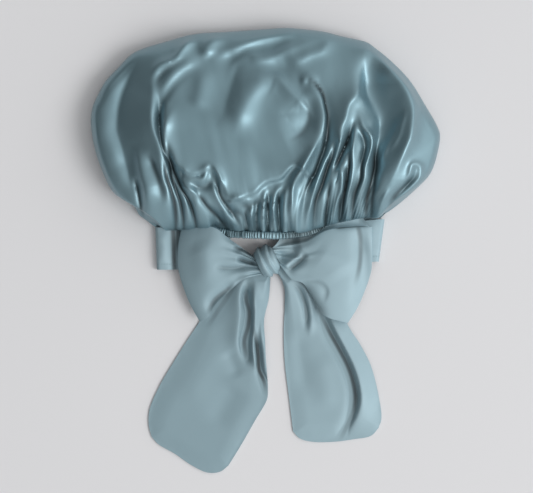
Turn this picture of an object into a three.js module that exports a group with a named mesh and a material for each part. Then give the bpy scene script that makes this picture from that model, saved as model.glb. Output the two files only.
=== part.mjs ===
import * as THREE from 'three';

const { lerp, smoothstep } = THREE.MathUtils;

// Driving dimensions in millimetres, for a satin bonnet laid flat with its nape side up
const crownWidth = 369; // widest, side to side
const crownDepth = 225; // from the nape line to the top of the crown
const crownLoft = 46; // puff of the crown over its rim
const napeLine = 12; // nape line, above the middle of the whole
const napeRise = 34; // highest point of the nape edge over the table
const rimHeight = 13; // height at which the crown turns under, at its back
const sideRimHeight = 5; // the same beside the mouth
const rimRun = 26; // how far the rim's round reaches under the crown
const domeRun = 75; // how far in the crown keeps rising from its rim
const napeRun = 24; // how quickly the gathers swell over the nape
const foldRise = 10; // a main fold of the crown
const foldReach = 20; // half of its width
const gatherRise = 6; // the gathers along the nape, deepest to its right
const gatherReach = 44; // how far they run into the crown
const gatherCount = 13;
const ply = 0.4; // one ply of satin
const plyGap = 0.6; // air between two plies
const clearance = 0.4; // between pieces that meet
const casingHeight = 8; // ruched casing of the nape
const casingThickness = 4;
const casingWall = 0.6;
const rucheDepth = 0.5;
const rucheSpacing = 5.4;
const elasticThickness = 0.9;
const bandWidth = 45; // front band
const tackLength = 5; // stitched bar at the side of the mouth
const tackWidth = 2.4;
const tackThickness = 1.6;
const tieWidth = 100; // each tie, spread out
const wingLoft = 16; // height of a wing at its free edge
const wingBulge = 6; // how much higher it is in its middle
const pleatRise = 2.4; // pleats that run into the knot
const knotDrop = 22; // nape line down to the middle of the knot
const knotOffset = 1; // the knot's place to the right of the middle
const knotLength = 33; // along the turn that shows
const knotWidth = 21; // across it
const knotHeight = 30; // top of the knot over the table
const knotWall = 6; // thickness of the turn
const knotBase = 8; // underside of the knot over the table
const tailFold = 4.5; // folds of the tails
const leftTailLength = 220; // from its root under the knot to its tip
const rightTailLength = 183;
const leftFoldDrop = 78; // from the root to the line where the tail folds up
const rightFoldDrop = 65;

const halfWidth = crownWidth / 2;
const knotCentre = new THREE.Vector3(knotOffset, napeLine - knotDrop, 0);
const second = ply + plyGap; // depth of an inner ply
const tailStack = 2 * ply + clearance; // top of a tail where it lies flat
const elasticWidth = casingHeight - 2 * casingWall - 5 * clearance;
const bandLoft = wingLoft - pleatRise - second - ply - 8 * clearance; // its turned ends, under the wings
// The left wing's upper edge lies over the nape casing
const wingLift = Math.max(0, 0.5 * napeRise + casingThickness + pleatRise + second + ply - wingLoft);

// Outlines, as shares of half the crown's width, of its depth and of a height
const rimShares = [
  [-0.638, 0.07], [-0.736, 0.123], [-0.879, 0.231], [-0.948, 0.349], [-1.0, 0.53],
  [-0.977, 0.67], [-0.851, 0.816], [-0.667, 0.915], [-0.351, 0.976], [-0.023, 0.993],
  [0.138, 1.0], [0.454, 0.96], [0.655, 0.892], [0.839, 0.741], [0.977, 0.547],
  [0.989, 0.41], [0.943, 0.307], [0.77, 0.175], [0.69, 0.127],
];
const napeShares = [
  [-0.58, 0.068, 0.25], [-0.477, 0.068, 0.235], [-0.379, 0.071, 0.265], [-0.293, 0.066, 0.34],
  [-0.23, 0.057, 0.46], [-0.172, 0.05, 0.65], [-0.103, 0.047, 0.85], [-0.023, 0.045, 1.0],
  [0.08, 0.043, 0.98], [0.155, 0.047, 0.88], [0.224, 0.054, 0.65], [0.282, 0.068, 0.4],
  [0.34, 0.083, 0.28], [0.454, 0.106, 0.28], [0.569, 0.125, 0.29], [0.644, 0.125, 0.28],
];
const seamShares = [
  [-0.615, 0.066], [-0.54, 0.09], [-0.379, 0.151], [-0.195, 0.217], [-0.006, 0.245],
  [0.195, 0.217], [0.397, 0.165], [0.552, 0.127], [0.661, 0.104],
];
const casingShares = [0.085, 0.325, 0.69, 0.775]; // along the nape edge: sides and middle
const gatherPullShare = 0.12; // how far the gathers crowd towards the middle
const flatSideShare = 0.12; // of the crown's edge, flat at each side
const leftGatherShare = 0.35; // depth of the gathers left of the middle, of those right of it
const gatherChangeShares = [0.48, 0.6]; // where the one becomes the other
const upperShares = [0, 0.04, 0.1, 0.18, 0.3, 0.45, 0.62, 0.78, 0.89, 0.96]; // nape to rim
const lowerShares = [0, 0.04, 0.14, 0.4, 1]; // rim to band seam

// Main folds: a line over the crown, its rise, and its reach to the left and to the right
const foldLineShares = [
  { path: [[-0.626, 0.84], [-0.62, 0.66], [-0.598, 0.472], [-0.546, 0.3], [-0.494, 0.165]],
    rise: 0.8, left: 0.9, right: 0.6 },
  { path: [[-0.77, 0.84], [-0.793, 0.66], [-0.77, 0.425], [-0.707, 0.189]],
    rise: -0.8, left: 0.6, right: 0.7 },
  { path: [[-0.6, 0.613], [-0.57, 0.448], [-0.52, 0.307], [-0.46, 0.189], [-0.41, 0.1]],
    rise: -0.5, left: 0.3, right: 0.35 },
  { path: [[0.207, 0.731], [0.31, 0.66], [0.345, 0.52], [0.322, 0.34], [0.24, 0.21], [0.2, 0.09]],
    rise: 0.55, left: 1.0, right: 0.25 },
  { path: [[0.6, 0.9], [0.56, 0.78], [0.517, 0.637]], rise: -0.5, left: 0.35, right: 0.35 },
  { path: [[0.7, 0.8], [0.828, 0.684], [0.868, 0.575], [0.83, 0.448], [0.741, 0.33], [0.626, 0.151]],
    rise: 0.85, left: 0.9, right: 0.55 },
];

const onPlan = ([u, v, w = 0], height = 0) =>
  new THREE.Vector3(u * halfWidth, napeLine + v * crownDepth, w * height);
const curveThrough = (points) => new THREE.CatmullRomCurve3(points);
const crownRim = curveThrough(rimShares.map((share) => onPlan(share)));
const napeEdge = curveThrough(napeShares.map((share) => onPlan(share, napeRise)));
const bandSeam = curveThrough(seamShares.map((share) => onPlan(share)));
const crownFolds = foldLineShares.map(({ path, rise, left, right }) => ({
  line: curveThrough(path.map((share) => onPlan(share))).getPoints(4 * path.length),
  rise: rise * foldRise,
  left: left * foldReach,
  right: right * foldReach,
}));

// A closed shell between a surface and the same surface moved inwards.
// The surface faces the way of its u direction crossed with its v direction.
function shell(place, us, vs, depth, thickness, drop) {
  const rows = vs.length;
  const grid = us.flatMap((u) => vs.map((v) => place(u, v)));
  const at = (i, j) => grid[
    Math.min(Math.max(i, 0), us.length - 1) * rows + Math.min(Math.max(j, 0), rows - 1)];
  const inward = (i, j) => {
    if (drop) return drop.clone();
    const along = at(i + 1, j).clone().sub(at(i - 1, j));
    const across = at(i, j + 1).clone().sub(at(i, j - 1));
    return along.cross(across).normalize().negate();
  };
  const layers = [depth, depth + thickness].map((distance) => us.map((_, i) =>
    vs.map((__, j) => at(i, j).clone().addScaledVector(inward(i, j), distance))));
  const [front, back] = layers;
  const quads = [];
  const quad = (a, b, c, d) => quads.push(a, b, c, a, c, d);
  for (let i = 0; i + 1 < us.length; i++) {
    for (let j = 0; j + 1 < rows; j++) {
      quad(front[i][j], front[i + 1][j], front[i + 1][j + 1], front[i][j + 1]);
      quad(back[i][j], back[i][j + 1], back[i + 1][j + 1], back[i + 1][j]);
    }
    const last = rows - 1;
    quad(front[i][0], back[i][0], back[i + 1][0], front[i + 1][0]);
    quad(front[i][last], front[i + 1][last], back[i + 1][last], back[i][last]);
  }
  for (let j = 0; j + 1 < rows; j++) {
    const last = us.length - 1;
    quad(front[0][j], front[0][j + 1], back[0][j + 1], back[0][j]);
    quad(front[last][j], back[last][j], back[last][j + 1], front[last][j + 1]);
  }
  return new THREE.BufferGeometry().setFromPoints(quads);
}

// A solid through rings of points, capped at both ends, or joined end to end as a hollow sleeve
function loft(rings, joined = false) {
  const corners = [];
  const sides = rings[0].length;
  const count = joined ? rings.length : rings.length - 1;
  for (let i = 0; i < count; i++) {
    const ring = rings[i];
    const next = rings[(i + 1) % rings.length];
    for (let j = 0; j < sides; j++) {
      const k = (j + 1) % sides;
      corners.push(ring[j], ring[k], next[k], ring[j], next[k], next[j]);
    }
  }
  if (!joined) {
    const first = rings[0];
    const last = rings[rings.length - 1];
    for (let j = 1; j + 1 < sides; j++) {
      corners.push(first[0], first[j + 1], first[j]);
      corners.push(last[0], last[j], last[j + 1]);
    }
  }
  return new THREE.BufferGeometry().setFromPoints(corners);
}

const steps = (count) => Array.from({ length: count + 1 }, (_, i) => i / count);
const down = new THREE.Vector3(0, 0, -1);

// How much a fold lifts a point of the crown
function foldLift(point, { line, rise, left, right }) {
  let nearest = Infinity;
  let side = 1;
  let along = 0;
  for (let i = 0; i + 1 < line.length; i++) {
    const run = line[i + 1].clone().sub(line[i]).setZ(0);
    const offset = point.clone().sub(line[i]).setZ(0);
    const share = THREE.MathUtils.clamp(offset.dot(run) / run.lengthSq(), 0, 1);
    const distance = offset.distanceTo(run.clone().multiplyScalar(share));
    if (distance < nearest) {
      nearest = distance;
      side = Math.sign(run.x * offset.y - run.y * offset.x);
      along = (i + share) / (line.length - 1);
    }
  }
  const reach = side > 0 ? right : left;
  return rise * Math.exp(-((nearest / reach) ** 2)) * Math.sin(Math.PI * along) ** 0.5;
}

function crownPoint(s, t) {
  const rim = crownRim.getPointAt(s);
  const nape = napeEdge.getPointAt(s - gatherPullShare * Math.sin(2 * Math.PI * s));
  const middle = smoothstep(s, 0, flatSideShare) * smoothstep(1 - s, 0, flatSideShare);
  const turn = lerp(sideRimHeight, rimHeight, middle);
  if (t > 1) {
    const seam = bandSeam.getPointAt(s);
    const under = rim.distanceTo(seam) * (t - 1);
    const round = Math.min(under / Math.min(rimRun, rim.distanceTo(seam)), 1);
    return rim.lerp(seam, t - 1).setZ(turn * (1 - Math.sqrt(1 - (1 - round) ** 2)));
  }
  const run = rim.clone().setZ(nape.z).distanceTo(nape);
  const fromRim = run * (1 - t);
  const fromNape = run * t;
  const round = Math.min(fromRim / domeRun, 1);
  const dome = turn + crownLoft * middle * Math.sqrt(1 - (1 - round) ** 2);
  const point = nape.clone().lerp(rim, t);
  const free = smoothstep(fromRim, 0, rimRun) * smoothstep(fromNape, 0, napeRun / 2);
  const lifts = crownFolds.map((fold) => foldLift(point, fold));
  const wave = 0.5 - 0.5 * Math.cos(2 * Math.PI * gatherCount * s);
  const gather = gatherRise * wave * lerp(leftGatherShare, 1, smoothstep(s, ...gatherChangeShares));
  const lift = lifts.reduce((a, b) => a + b, 0) - gather * Math.exp(-fromNape / gatherReach);
  const swell = 1 - (1 - t) * Math.exp(-fromNape / napeRun);
  return point.setZ(lerp(nape.z, dome, swell) + free * middle * lift);
}

function crown(depth) {
  const columns = 40;
  const rows = [...upperShares, ...lowerShares.map((share) => 1 + share)];
  return shell(crownPoint, steps(columns), rows, depth, ply);
}

// The front band: under the mouth from side to side, turned over at both ends
const turnShares = [[0, 1], [0.5, 0.93], [0.9, 0.6], [0.9, 0.35], [0.5, 0.07]];
const turnedEndShares = { left: [0.115, 0], right: [0.26, 0.1] }; // reach back, and slant of that
const bandFlareShare = 0.07; // how much narrower the band is at its free edge
const seamGap = 3 * clearance;

function bandTop() {
  const left = bandSeam.getPoint(0);
  const right = bandSeam.getPoint(1);
  const low = seamShares.map((share) => onPlan(share));
  const ends = [[left, -1, turnedEndShares.left], [right, 1, turnedEndShares.right]].map(
    ([corner, side, [reachShare, slantShare]]) => {
      const reach = reachShare * halfWidth;
      const over = corner.clone().add(new THREE.Vector3(-side * reach, -slantShare * reach, bandLoft));
      const round = turnShares.map(([out, up]) => corner.clone().add(
        new THREE.Vector3(side * out * bandLoft / 2, 0, up * bandLoft)));
      return [over, ...round];
    });
  return curveThrough([...ends[0], ...low, ...ends[1].reverse()]);
}

function band(depth) {
  const top = bandTop();
  const place = (u, v) => {
    const point = top.getPoint(u);
    point.x -= bandFlareShare * point.x / halfWidth * bandWidth * v;
    point.y -= seamGap + bandWidth * v;
    return point.setZ(Math.max(point.z, 0));
  };
  const columns = 44;
  return shell(place, steps(columns), steps(2), depth, ply);
}

// The nape casing follows the crown's gathered edge, with flat elastic inside
function casingPath(from, to, count) {
  return steps(count).map((share) => {
    const at = lerp(from, to, share);
    const along = napeEdge.getTangentAt(at);
    const side = new THREE.Vector3(0, 1, 0).addScaledVector(along, -along.y).normalize();
    const centre = napeEdge.getPointAt(at);
    centre.addScaledVector(side, -(casingHeight / 2 + clearance + rucheDepth));
    return { centre, side, up: along.clone().cross(side) };
  });
}

function ringAt({ centre, side, up }, halfSide, halfUp, sides, turn = 0) {
  return Array.from({ length: sides }, (_, i) => {
    const angle = 2 * Math.PI * (i + turn) / sides;
    return centre.clone().addScaledVector(side, halfSide * Math.cos(angle))
      .addScaledVector(up, halfUp * Math.sin(angle));
  });
}

function casing(from, to, count) {
  const path = casingPath(from, to, count);
  const sides = 6;
  const outer = path.map((frame, i) => {
    const ruche = i % 2 ? rucheDepth : 0;
    return ringAt(frame, casingHeight / 2 + ruche, casingThickness / 2 + ruche, sides);
  });
  const inner = path.map((frame) =>
    ringAt(frame, casingHeight / 2 - casingWall, casingThickness / 2 - casingWall, sides));
  return loft([...outer, ...inner.reverse()], true);
}

function elastic(from, to, count) {
  const path = casingPath(from, to, count);
  return loft(path.map(({ centre, side, up }) => [[1, -1], [1, 1], [-1, 1], [-1, -1]].map(
    ([a, b]) => centre.clone().addScaledVector(side, a * elasticWidth / 2)
      .addScaledVector(up, b * elasticThickness / 2))));
}

// A patch between four edges, each from 0 to 1
function patch({ start, end, bottom, top }) {
  const corners = [bottom.getPoint(0), bottom.getPoint(1), top.getPoint(0), top.getPoint(1)];
  return (u, v) => {
    const ruled = bottom.getPoint(u).lerp(top.getPoint(u), v);
    const crossed = start.getPoint(v).lerp(end.getPoint(v), u);
    const low = corners[0].clone().lerp(corners[1], u);
    const high = corners[2].clone().lerp(corners[3], u);
    return ruled.add(crossed).sub(low.lerp(high, v));
  };
}

// The knot's turn runs from the upper left to the lower right; the ties enter at its sides
const turnAngle = THREE.MathUtils.degToRad(-65);
const alongTurn = new THREE.Vector3(Math.cos(turnAngle), Math.sin(turnAngle), 0);
const acrossTurn = new THREE.Vector3(-Math.sin(turnAngle), Math.cos(turnAngle), 0);
const knotEntry = (side, along) => knotCentre.clone()
  .addScaledVector(acrossTurn, side * (knotWidth / 2 + clearance))
  .addScaledVector(alongTurn, along * (knotLength / 2 - knotWall));

// Wing edges: shares of half the crown's width and of the tie's width, below the mouth's corner
const wings = {
  left: {
    side: -1, corner: [-0.489, 0.05], pleats: 3.5,
    outerShares: [[0, 0], [-0.017, -0.2], [-0.017, -0.4], [0.04, -0.74], [0.109, -0.98]],
    lowerShares: [[0.109, -0.98], [0.224, -0.99], [0.32, -0.74], [0.36, -0.52]],
    upperShares: [[0, 0], [0.138, 0.0], [0.213, -0.015], [0.316, -0.11]],
  },
  right: {
    side: 1, corner: [0.609, 0.064], pleats: 2.5,
    outerShares: [[0, 0], [0, -0.36], [-0.005, -0.48], [-0.074, -0.81], [-0.138, -0.97]],
    lowerShares: [[-0.138, -0.97], [-0.236, -0.92], [-0.3, -0.74], [-0.362, -0.56], [-0.454, -0.53]],
    upperShares: [[0, 0], [-0.103, -0.005], [-0.26, -0.04], [-0.385, -0.165]],
  },
};

function wingSurface({ side, corner, pleats, outerShares, lowerShares: lower, upperShares: upper }) {
  const from = onPlan(corner);
  const edge = (shares) => shares.map(([u, v]) =>
    from.clone().add(new THREE.Vector3(u * halfWidth, v * tieWidth, 0)));
  const [entryTop, entryLow] = [knotEntry(side, -1), knotEntry(side, 1)];
  const spread = patch({
    start: curveThrough(edge(outerShares).reverse()),
    end: new THREE.LineCurve3(entryLow, entryTop),
    bottom: curveThrough([...edge(lower), entryLow]),
    top: curveThrough([...edge(upper), entryTop]),
  });
  const edgePuffShare = 0.4;
  const liftRunShare = 0.87;
  const pleatStartShare = 0.25;
  return (u, v) => {
    const puff = wingBulge * Math.sin(Math.PI * u) * lerp(edgePuffShare, 1, Math.sin(Math.PI * v));
    const lift = side < 0 ? wingLift * v ** 2 * Math.sin(Math.PI * Math.min(u / liftRunShare, 1)) : 0;
    const pleat = pleatRise * smoothstep(u, pleatStartShare, 1) * Math.cos(2 * Math.PI * pleats * v);
    return spread(u, v).setZ(wingLoft + puff + lift + pleat);
  };
}

function wing(shape, depth) {
  const surface = wingSurface(shape);
  const facing = shape.side < 0 ? surface : (u, v) => surface(1 - u, v);
  return shell(facing, steps(10), steps(12), depth, ply, down);
}

// The turn of the knot: a pleated strap that arches over the core
function knotWrap() {
  const high = knotHeight - knotBase;
  const pleatShare = 0.16;
  const outerShares = [-1, -0.66, -0.33, 0, 0.33, 0.66, 1];
  const innerShares = [0.9, -0.9];
  return loft(steps(16).map((share) => {
    const angle = Math.PI * (1 - share);
    const at = (out, across) => {
      const pleat = 1 + pleatShare * Math.cos(3 * Math.PI * across) * out;
      const reach = knotLength / 2 - (1 - out * pleat) * knotWall;
      const rise = high - (1 - out * pleat) * knotWall;
      return knotCentre.clone().setZ(knotBase + rise * Math.sin(angle))
        .addScaledVector(alongTurn, reach * Math.cos(angle))
        .addScaledVector(acrossTurn, across * knotWidth / 2);
    };
    const outer = outerShares.map((across) => at(1 - across ** 6, across));
    const inner = innerShares.map((across) => at(0, across));
    return [...inner.reverse(), ...outer.reverse()];
  }));
}

function knotCore() {
  const radiusShare = 0.72;
  const sides = 10;
  const radius = radiusShare * (knotLength / 2 - knotWall - clearance);
  const rise = (knotHeight - knotWall - clearance - knotBase) / 2;
  return loft(steps(6).map((share) => {
    const across = 1 - 2 * share;
    const swell = Math.sqrt(1 - 0.5 * across ** 2);
    const centre = knotCentre.clone().setZ(knotBase + rise)
      .addScaledVector(acrossTurn, across * (knotWidth / 2 - clearance));
    return ringAt({ centre, side: alongTurn, up: new THREE.Vector3(0, 0, 1) },
      radius * swell, rise * swell, sides);
  }));
}

// Tails: shares of the tie's width, and of the drop to the fold line or from that line to the tip
const tails = {
  left: {
    rootShares: [-0.09, -0.2], length: leftTailLength, drop: leftFoldDrop,
    neckLeftShares: [[-0.24, 0.265], [-0.5, 0.536], [-0.7, 0.745]],
    neckRightShares: [[0.05, 0.423], [0.0, 0.72]],
    foldShares: [-0.82, 0.01],
    leftShares: [[-0.98, 0.18], [-1.12, 0.35], [-1.22, 0.52], [-1.23, 0.63], [-1.2, 0.72]],
    tipShares: [[-1.13, 0.777], [-0.95, 0.851], [-0.77, 0.938], [-0.6, 0.992], [-0.47, 0.985]],
    rightShares: [
      [-0.38, 0.938], [-0.25, 0.79], [-0.1, 0.605], [0.03, 0.442], [0.04, 0.365], [0.02, 0.148],
    ],
    ridgeShares: [[0.78, 0.07], [0.97, 0.05]],
  },
  right: {
    rootShares: [0.45, -0.29], length: rightTailLength, drop: rightFoldDrop,
    neckLeftShares: [[0.03, 0.253], [0.04, 0.62]],
    neckRightShares: [[0.3, 0.394], [0.52, 0.676]],
    foldShares: [0.03, 0.75],
    leftShares: [[0.04, 0.27], [0.09, 0.63], [0.13, 0.907]],
    tipShares: [[0.2, 0.969], [0.33, 1.0], [0.57, 1.0], [0.78, 0.977], [0.96, 0.946]],
    rightShares: [[1.04, 0.876], [1.07, 0.79], [1.05, 0.63], [0.96, 0.318], [0.84, 0.116]],
    ridgeShares: [[0.62, 0.08], [0.86, 0.09]],
  },
};
const rootOf = ({ rootShares: [u, v] }) =>
  knotCentre.clone().add(new THREE.Vector3(u * knotLength, v * knotLength, 0));
const rootArc = THREE.MathUtils.degToRad(80);
// The round roots of the two tails lie side by side under the knot
const neckRadius = rootOf(tails.left).distanceTo(rootOf(tails.right)) / 2 - 2.5 * clearance;

function tailFrame(tail) {
  const root = rootOf(tail);
  const place = (top, span) => ([u, v]) =>
    root.clone().add(new THREE.Vector3(u * tieWidth, -top - v * span, 0));
  const upper = place(0, tail.drop);
  const lower = place(tail.drop, tail.length - tail.drop);
  return { root, upper, lower, foldEnds: tail.foldShares.map((u) => upper([u, 1])) };
}

function tailUpper(tail, front) {
  const { root, upper, foldEnds: [left, right] } = tailFrame(tail);
  const away = root.clone().multiplyScalar(2).sub(left).sub(right);
  const middle = Math.atan2(away.y, away.x);
  const arc = steps(6).map((share) => {
    const angle = middle + rootArc * (0.5 - share);
    return root.clone().add(
      new THREE.Vector3(neckRadius * Math.cos(angle), neckRadius * Math.sin(angle), 0));
  });
  const spread = patch({
    start: curveThrough([left, ...tail.neckLeftShares.map(upper).reverse(), arc[0]]),
    end: curveThrough([right, ...tail.neckRightShares.map(upper).reverse(), arc[arc.length - 1]]),
    bottom: new THREE.LineCurve3(left, right),
    top: curveThrough(arc),
  });
  const neckRunShares = [0.25, 0.95];
  const neckEdgeShare = 0.7; // how much lower the neck is at its edges
  const foldShare = 0.4;
  const neckHeight = knotBase - clearance;
  const surface = (u, v) => {
    const round = 1 - neckEdgeShare * (2 * u - 1) ** 6;
    const hump = (neckHeight - tailStack) * smoothstep(v, ...neckRunShares) * round;
    const fold = foldShare * tailFold * Math.cos(5 * Math.PI * u) * Math.sin(Math.PI * v) ** 2;
    const top = Math.min(tailStack + hump + Math.max(0, fold), neckHeight);
    return spread(u, v).setZ(front ? top : ply);
  };
  const [columns, rows] = front ? [10, 8] : [6, 5];
  return shell(surface, steps(columns), steps(rows), 0, ply, down);
}

function tailLower(tail, front) {
  const { lower, foldEnds } = tailFrame(tail);
  const [left, right] = foldEnds.map((end) => end.clone().add(new THREE.Vector3(0, -clearance, 0)));
  const leftEdge = tail.leftShares.map(lower);
  const rightEdge = tail.rightShares.map(lower);
  const spread = patch({
    start: curveThrough([left, ...leftEdge].reverse()),
    end: curveThrough([...rightEdge, right]),
    bottom: curveThrough([leftEdge[leftEdge.length - 1], ...tail.tipShares.map(lower), rightEdge[0]]),
    top: new THREE.LineCurve3(left, right),
  });
  const surface = (u, v) => {
    const ridges = tail.ridgeShares.map(([at, width]) => Math.exp(-(((u - at) / width) ** 2)));
    const fold = tailFold * Math.sin(Math.PI * v) * Math.max(...ridges);
    return spread(u, v).setZ(front ? tailStack + fold : ply);
  };
  const [columns, rows] = front ? [12, 8] : [8, 6];
  return shell(surface, steps(columns), steps(rows), 0, ply, down);
}

// A stitched bar between the band's turned end and the nape casing
function sideTack(left) {
  const { centre } = casingPath(left ? casingShares[0] : casingShares[3], 1, 1)[0];
  const shift = (left ? -1 : 1) * (tackLength / 2 + clearance);
  const bar = new THREE.BoxGeometry(tackLength, tackWidth, tackThickness);
  return bar.translate(centre.x + shift, centre.y, centre.z);
}

const satin = new THREE.MeshStandardMaterial({ color: 0x6f9096, roughness: 0.34, metalness: 0.2 });
const lining = new THREE.MeshStandardMaterial({ color: 0x7d9ba1, roughness: 0.42, metalness: 0.1 });
const tieSatin = new THREE.MeshStandardMaterial({ color: 0x8fabb2, roughness: 0.5, metalness: 0.05 });
const rubber = new THREE.MeshStandardMaterial({ color: 0xe6e4de, roughness: 0.85, metalness: 0 });
const thread = new THREE.MeshStandardMaterial({ color: 0x86a3aa, roughness: 0.7, metalness: 0 });

const bonnet = new THREE.Group();
bonnet.name = 'hair_bonnet';

function add(name, geometry, material) {
  const mesh = new THREE.Mesh(geometry, material);
  mesh.name = name;
  bonnet.add(mesh);
}

add('crown_outer', crown(0), satin);
add('crown_lining', crown(second), lining);
add('front_band_outer', band(0), tieSatin);
add('front_band_facing', band(second), tieSatin);
['left', 'middle', 'right'].forEach((name, i) => {
  const length = napeEdge.getLength();
  const gapShare = clearance / length;
  const [from, to] = [casingShares[i] + gapShare, casingShares[i + 1] - gapShare];
  const count = Math.round((to - from) * length / rucheSpacing);
  add(`casing_${name}`, casing(from, to, count), satin);
  add(`elastic_${name}`, elastic(from, to, count), rubber);
});
add('left_side_tack', sideTack(true), thread);
add('right_side_tack', sideTack(false), thread);
add('knot_wrap', knotWrap(), tieSatin);
add('knot_core', knotCore(), tieSatin);
for (const name of ['left', 'right']) {
  add(`${name}_wing_front`, wing(wings[name], 0), tieSatin);
  add(`${name}_wing_back`, wing(wings[name], second), tieSatin);
  add(`${name}_tail_upper_front`, tailUpper(tails[name], true), tieSatin);
  add(`${name}_tail_upper_back`, tailUpper(tails[name], false), tieSatin);
  add(`${name}_tail_lower_front`, tailLower(tails[name], true), tieSatin);
  add(`${name}_tail_lower_back`, tailLower(tails[name], false), tieSatin);
}

export default bonnet;
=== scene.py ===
import math
import bpy
import mathutils
import numpy as np
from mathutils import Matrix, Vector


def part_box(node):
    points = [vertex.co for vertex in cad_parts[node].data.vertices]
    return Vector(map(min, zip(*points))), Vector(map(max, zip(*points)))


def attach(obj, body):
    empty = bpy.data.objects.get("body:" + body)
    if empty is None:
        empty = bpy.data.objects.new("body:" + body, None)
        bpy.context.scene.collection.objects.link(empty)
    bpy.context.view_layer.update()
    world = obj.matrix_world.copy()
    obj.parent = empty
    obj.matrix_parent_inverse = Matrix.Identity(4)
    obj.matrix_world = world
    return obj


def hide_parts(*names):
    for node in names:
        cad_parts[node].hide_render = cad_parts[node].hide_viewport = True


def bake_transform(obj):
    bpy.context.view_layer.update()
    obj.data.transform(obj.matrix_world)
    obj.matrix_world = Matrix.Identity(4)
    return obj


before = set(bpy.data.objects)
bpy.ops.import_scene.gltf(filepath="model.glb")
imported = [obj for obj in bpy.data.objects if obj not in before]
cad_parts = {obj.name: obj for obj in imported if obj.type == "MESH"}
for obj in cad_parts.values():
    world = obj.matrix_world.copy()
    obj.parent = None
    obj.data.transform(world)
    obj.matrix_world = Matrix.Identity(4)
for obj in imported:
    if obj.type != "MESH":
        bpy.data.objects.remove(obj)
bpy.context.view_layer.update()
mm = 0.001

# The bonnet lies nape side up; its sizes, in millimetres
bonnet = {
    "crownWidth": 369, "crownDepth": 225, "crownLoft": 34, "domeRun": 48,
    "rollRise": 14, "rollRun": 14, "rollUneven": 0.35,
    "napeLine": 12, "napeRise": 34, "napeRun": 24,
    "rimHeight": 13, "sideRimHeight": 5, "rimRun": 26,
    "ply": 0.4, "plyGap": 0.6, "tieWidth": 100,
}
halfWidth = bonnet["crownWidth"] / 2
innerPly = bonnet["ply"] + bonnet["plyGap"]

# The photograph's pixels, laid on the table
photo = {"mmPerPixel": 1.06, "middlePx": (266, 251.5), "sizePx": (533, 493)}


def fromPhoto(pointsPx):
    # pixels are given in one row, x,y, x,y
    px = np.reshape(pointsPx, (-1, 2))
    middle = photo["middlePx"]
    return np.column_stack((px[:, 0] - middle[0], middle[1] - px[:, 1])) * photo["mmPerPixel"]


# Small helpers for surfaces worked out on arrays
def smooth(x, low, high):
    x = np.clip((x - low) / (high - low), 0, 1)
    return x * x * (3 - 2 * x)


def lerp(a, b, t):
    return a + (b - a) * t


def unit(v):
    return v / np.maximum(np.linalg.norm(v, axis=-1, keepdims=True), 1e-12)


class Path:
    # a smooth curve through points, sampled closely; at() goes by length and by() by point number
    def __init__(self, points, perSpan=40):
        points = np.array(points, float)
        p = np.vstack((2 * points[0] - points[1], points, 2 * points[-1] - points[-2]))
        spans = []
        for i in range(1, len(p) - 2):
            k = [0.0]
            for n in range(i - 1, i + 2):
                k.append(k[-1] + max(np.linalg.norm(p[n + 1] - p[n]), 1e-9) ** 0.5)
            t = np.linspace(k[1], k[2], perSpan, endpoint=False)[:, None]

            def between(a, b, low, high):
                return ((k[high] - t) * a + (t - k[low]) * b) / (k[high] - k[low])

            first, second, third = [between(p[i + n - 1], p[i + n], n, n + 1) for n in range(3)]
            spans.append(between(between(first, second, 0, 2), between(second, third, 1, 3), 1, 2))
        self.points = np.vstack((*spans, points[-1:]))
        self.number = np.linspace(0, 1, len(self.points))
        steps = np.linalg.norm(np.diff(self.points, axis=0), axis=1)
        self.length = steps.sum()
        self.share = np.concatenate(([0], np.cumsum(steps))) / self.length

    def read(self, where, axis):
        return np.stack([np.interp(where, axis, column) for column in self.points.T], axis=-1)

    def at(self, share):
        return self.read(share, self.share)

    def by(self, number):
        return self.read(number, self.number)


class Noise:
    # smooth seeded noise from -1 to 1 over a plane, in as many octaves as asked
    def __init__(self, seed, size=64):
        self.grid = np.random.default_rng(seed).uniform(-1, 1, (size, size))

    def single(self, x, y):
        x, y = np.broadcast_arrays(x, y)
        i, j = np.floor(x).astype(int), np.floor(y).astype(int)
        u, v = smooth(x - i, 0, 1), smooth(y - j, 0, 1)

        def at(a, b):
            return self.grid[(i + a) % len(self.grid), (j + b) % len(self.grid)]

        return lerp(lerp(at(0, 0), at(1, 0), u), lerp(at(0, 1), at(1, 1), u), v)

    def __call__(self, x, y, scale, octaves=2):
        total, weight = 0, 1
        for octave in range(octaves):
            total = total + weight * self.single(x / scale + 7.3 * octave, y / scale + 3.1 * octave)
            scale, weight = scale / 2, weight / 2
        return total


def nearLine(spots, line, reach):
    within = (spots >= line.min(0) - reach) & (spots <= line.max(0) + reach)
    return np.nonzero(within.all(1))[0]


def besideSpan(spots, a, b):
    # how far spots lie from the line between two points, and the share of it that is nearest
    run, offset = b - a, spots - a
    share = np.clip(offset @ run / max(run @ run, 1e-12), 0, 1)
    return np.linalg.norm(offset - share[:, None] * run, axis=1), share


# Folds fade towards their ends, and the narrow creases hold painted shade; in millimetres
foldForm = {
    "fadeShare": 0.3, "rounding": 0.8, "samples": 6, "narrowReach": 5.5,
    "shadeShare": 0.7, "shadeReach": 2.6, "darkDepth": 7,
}


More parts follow.
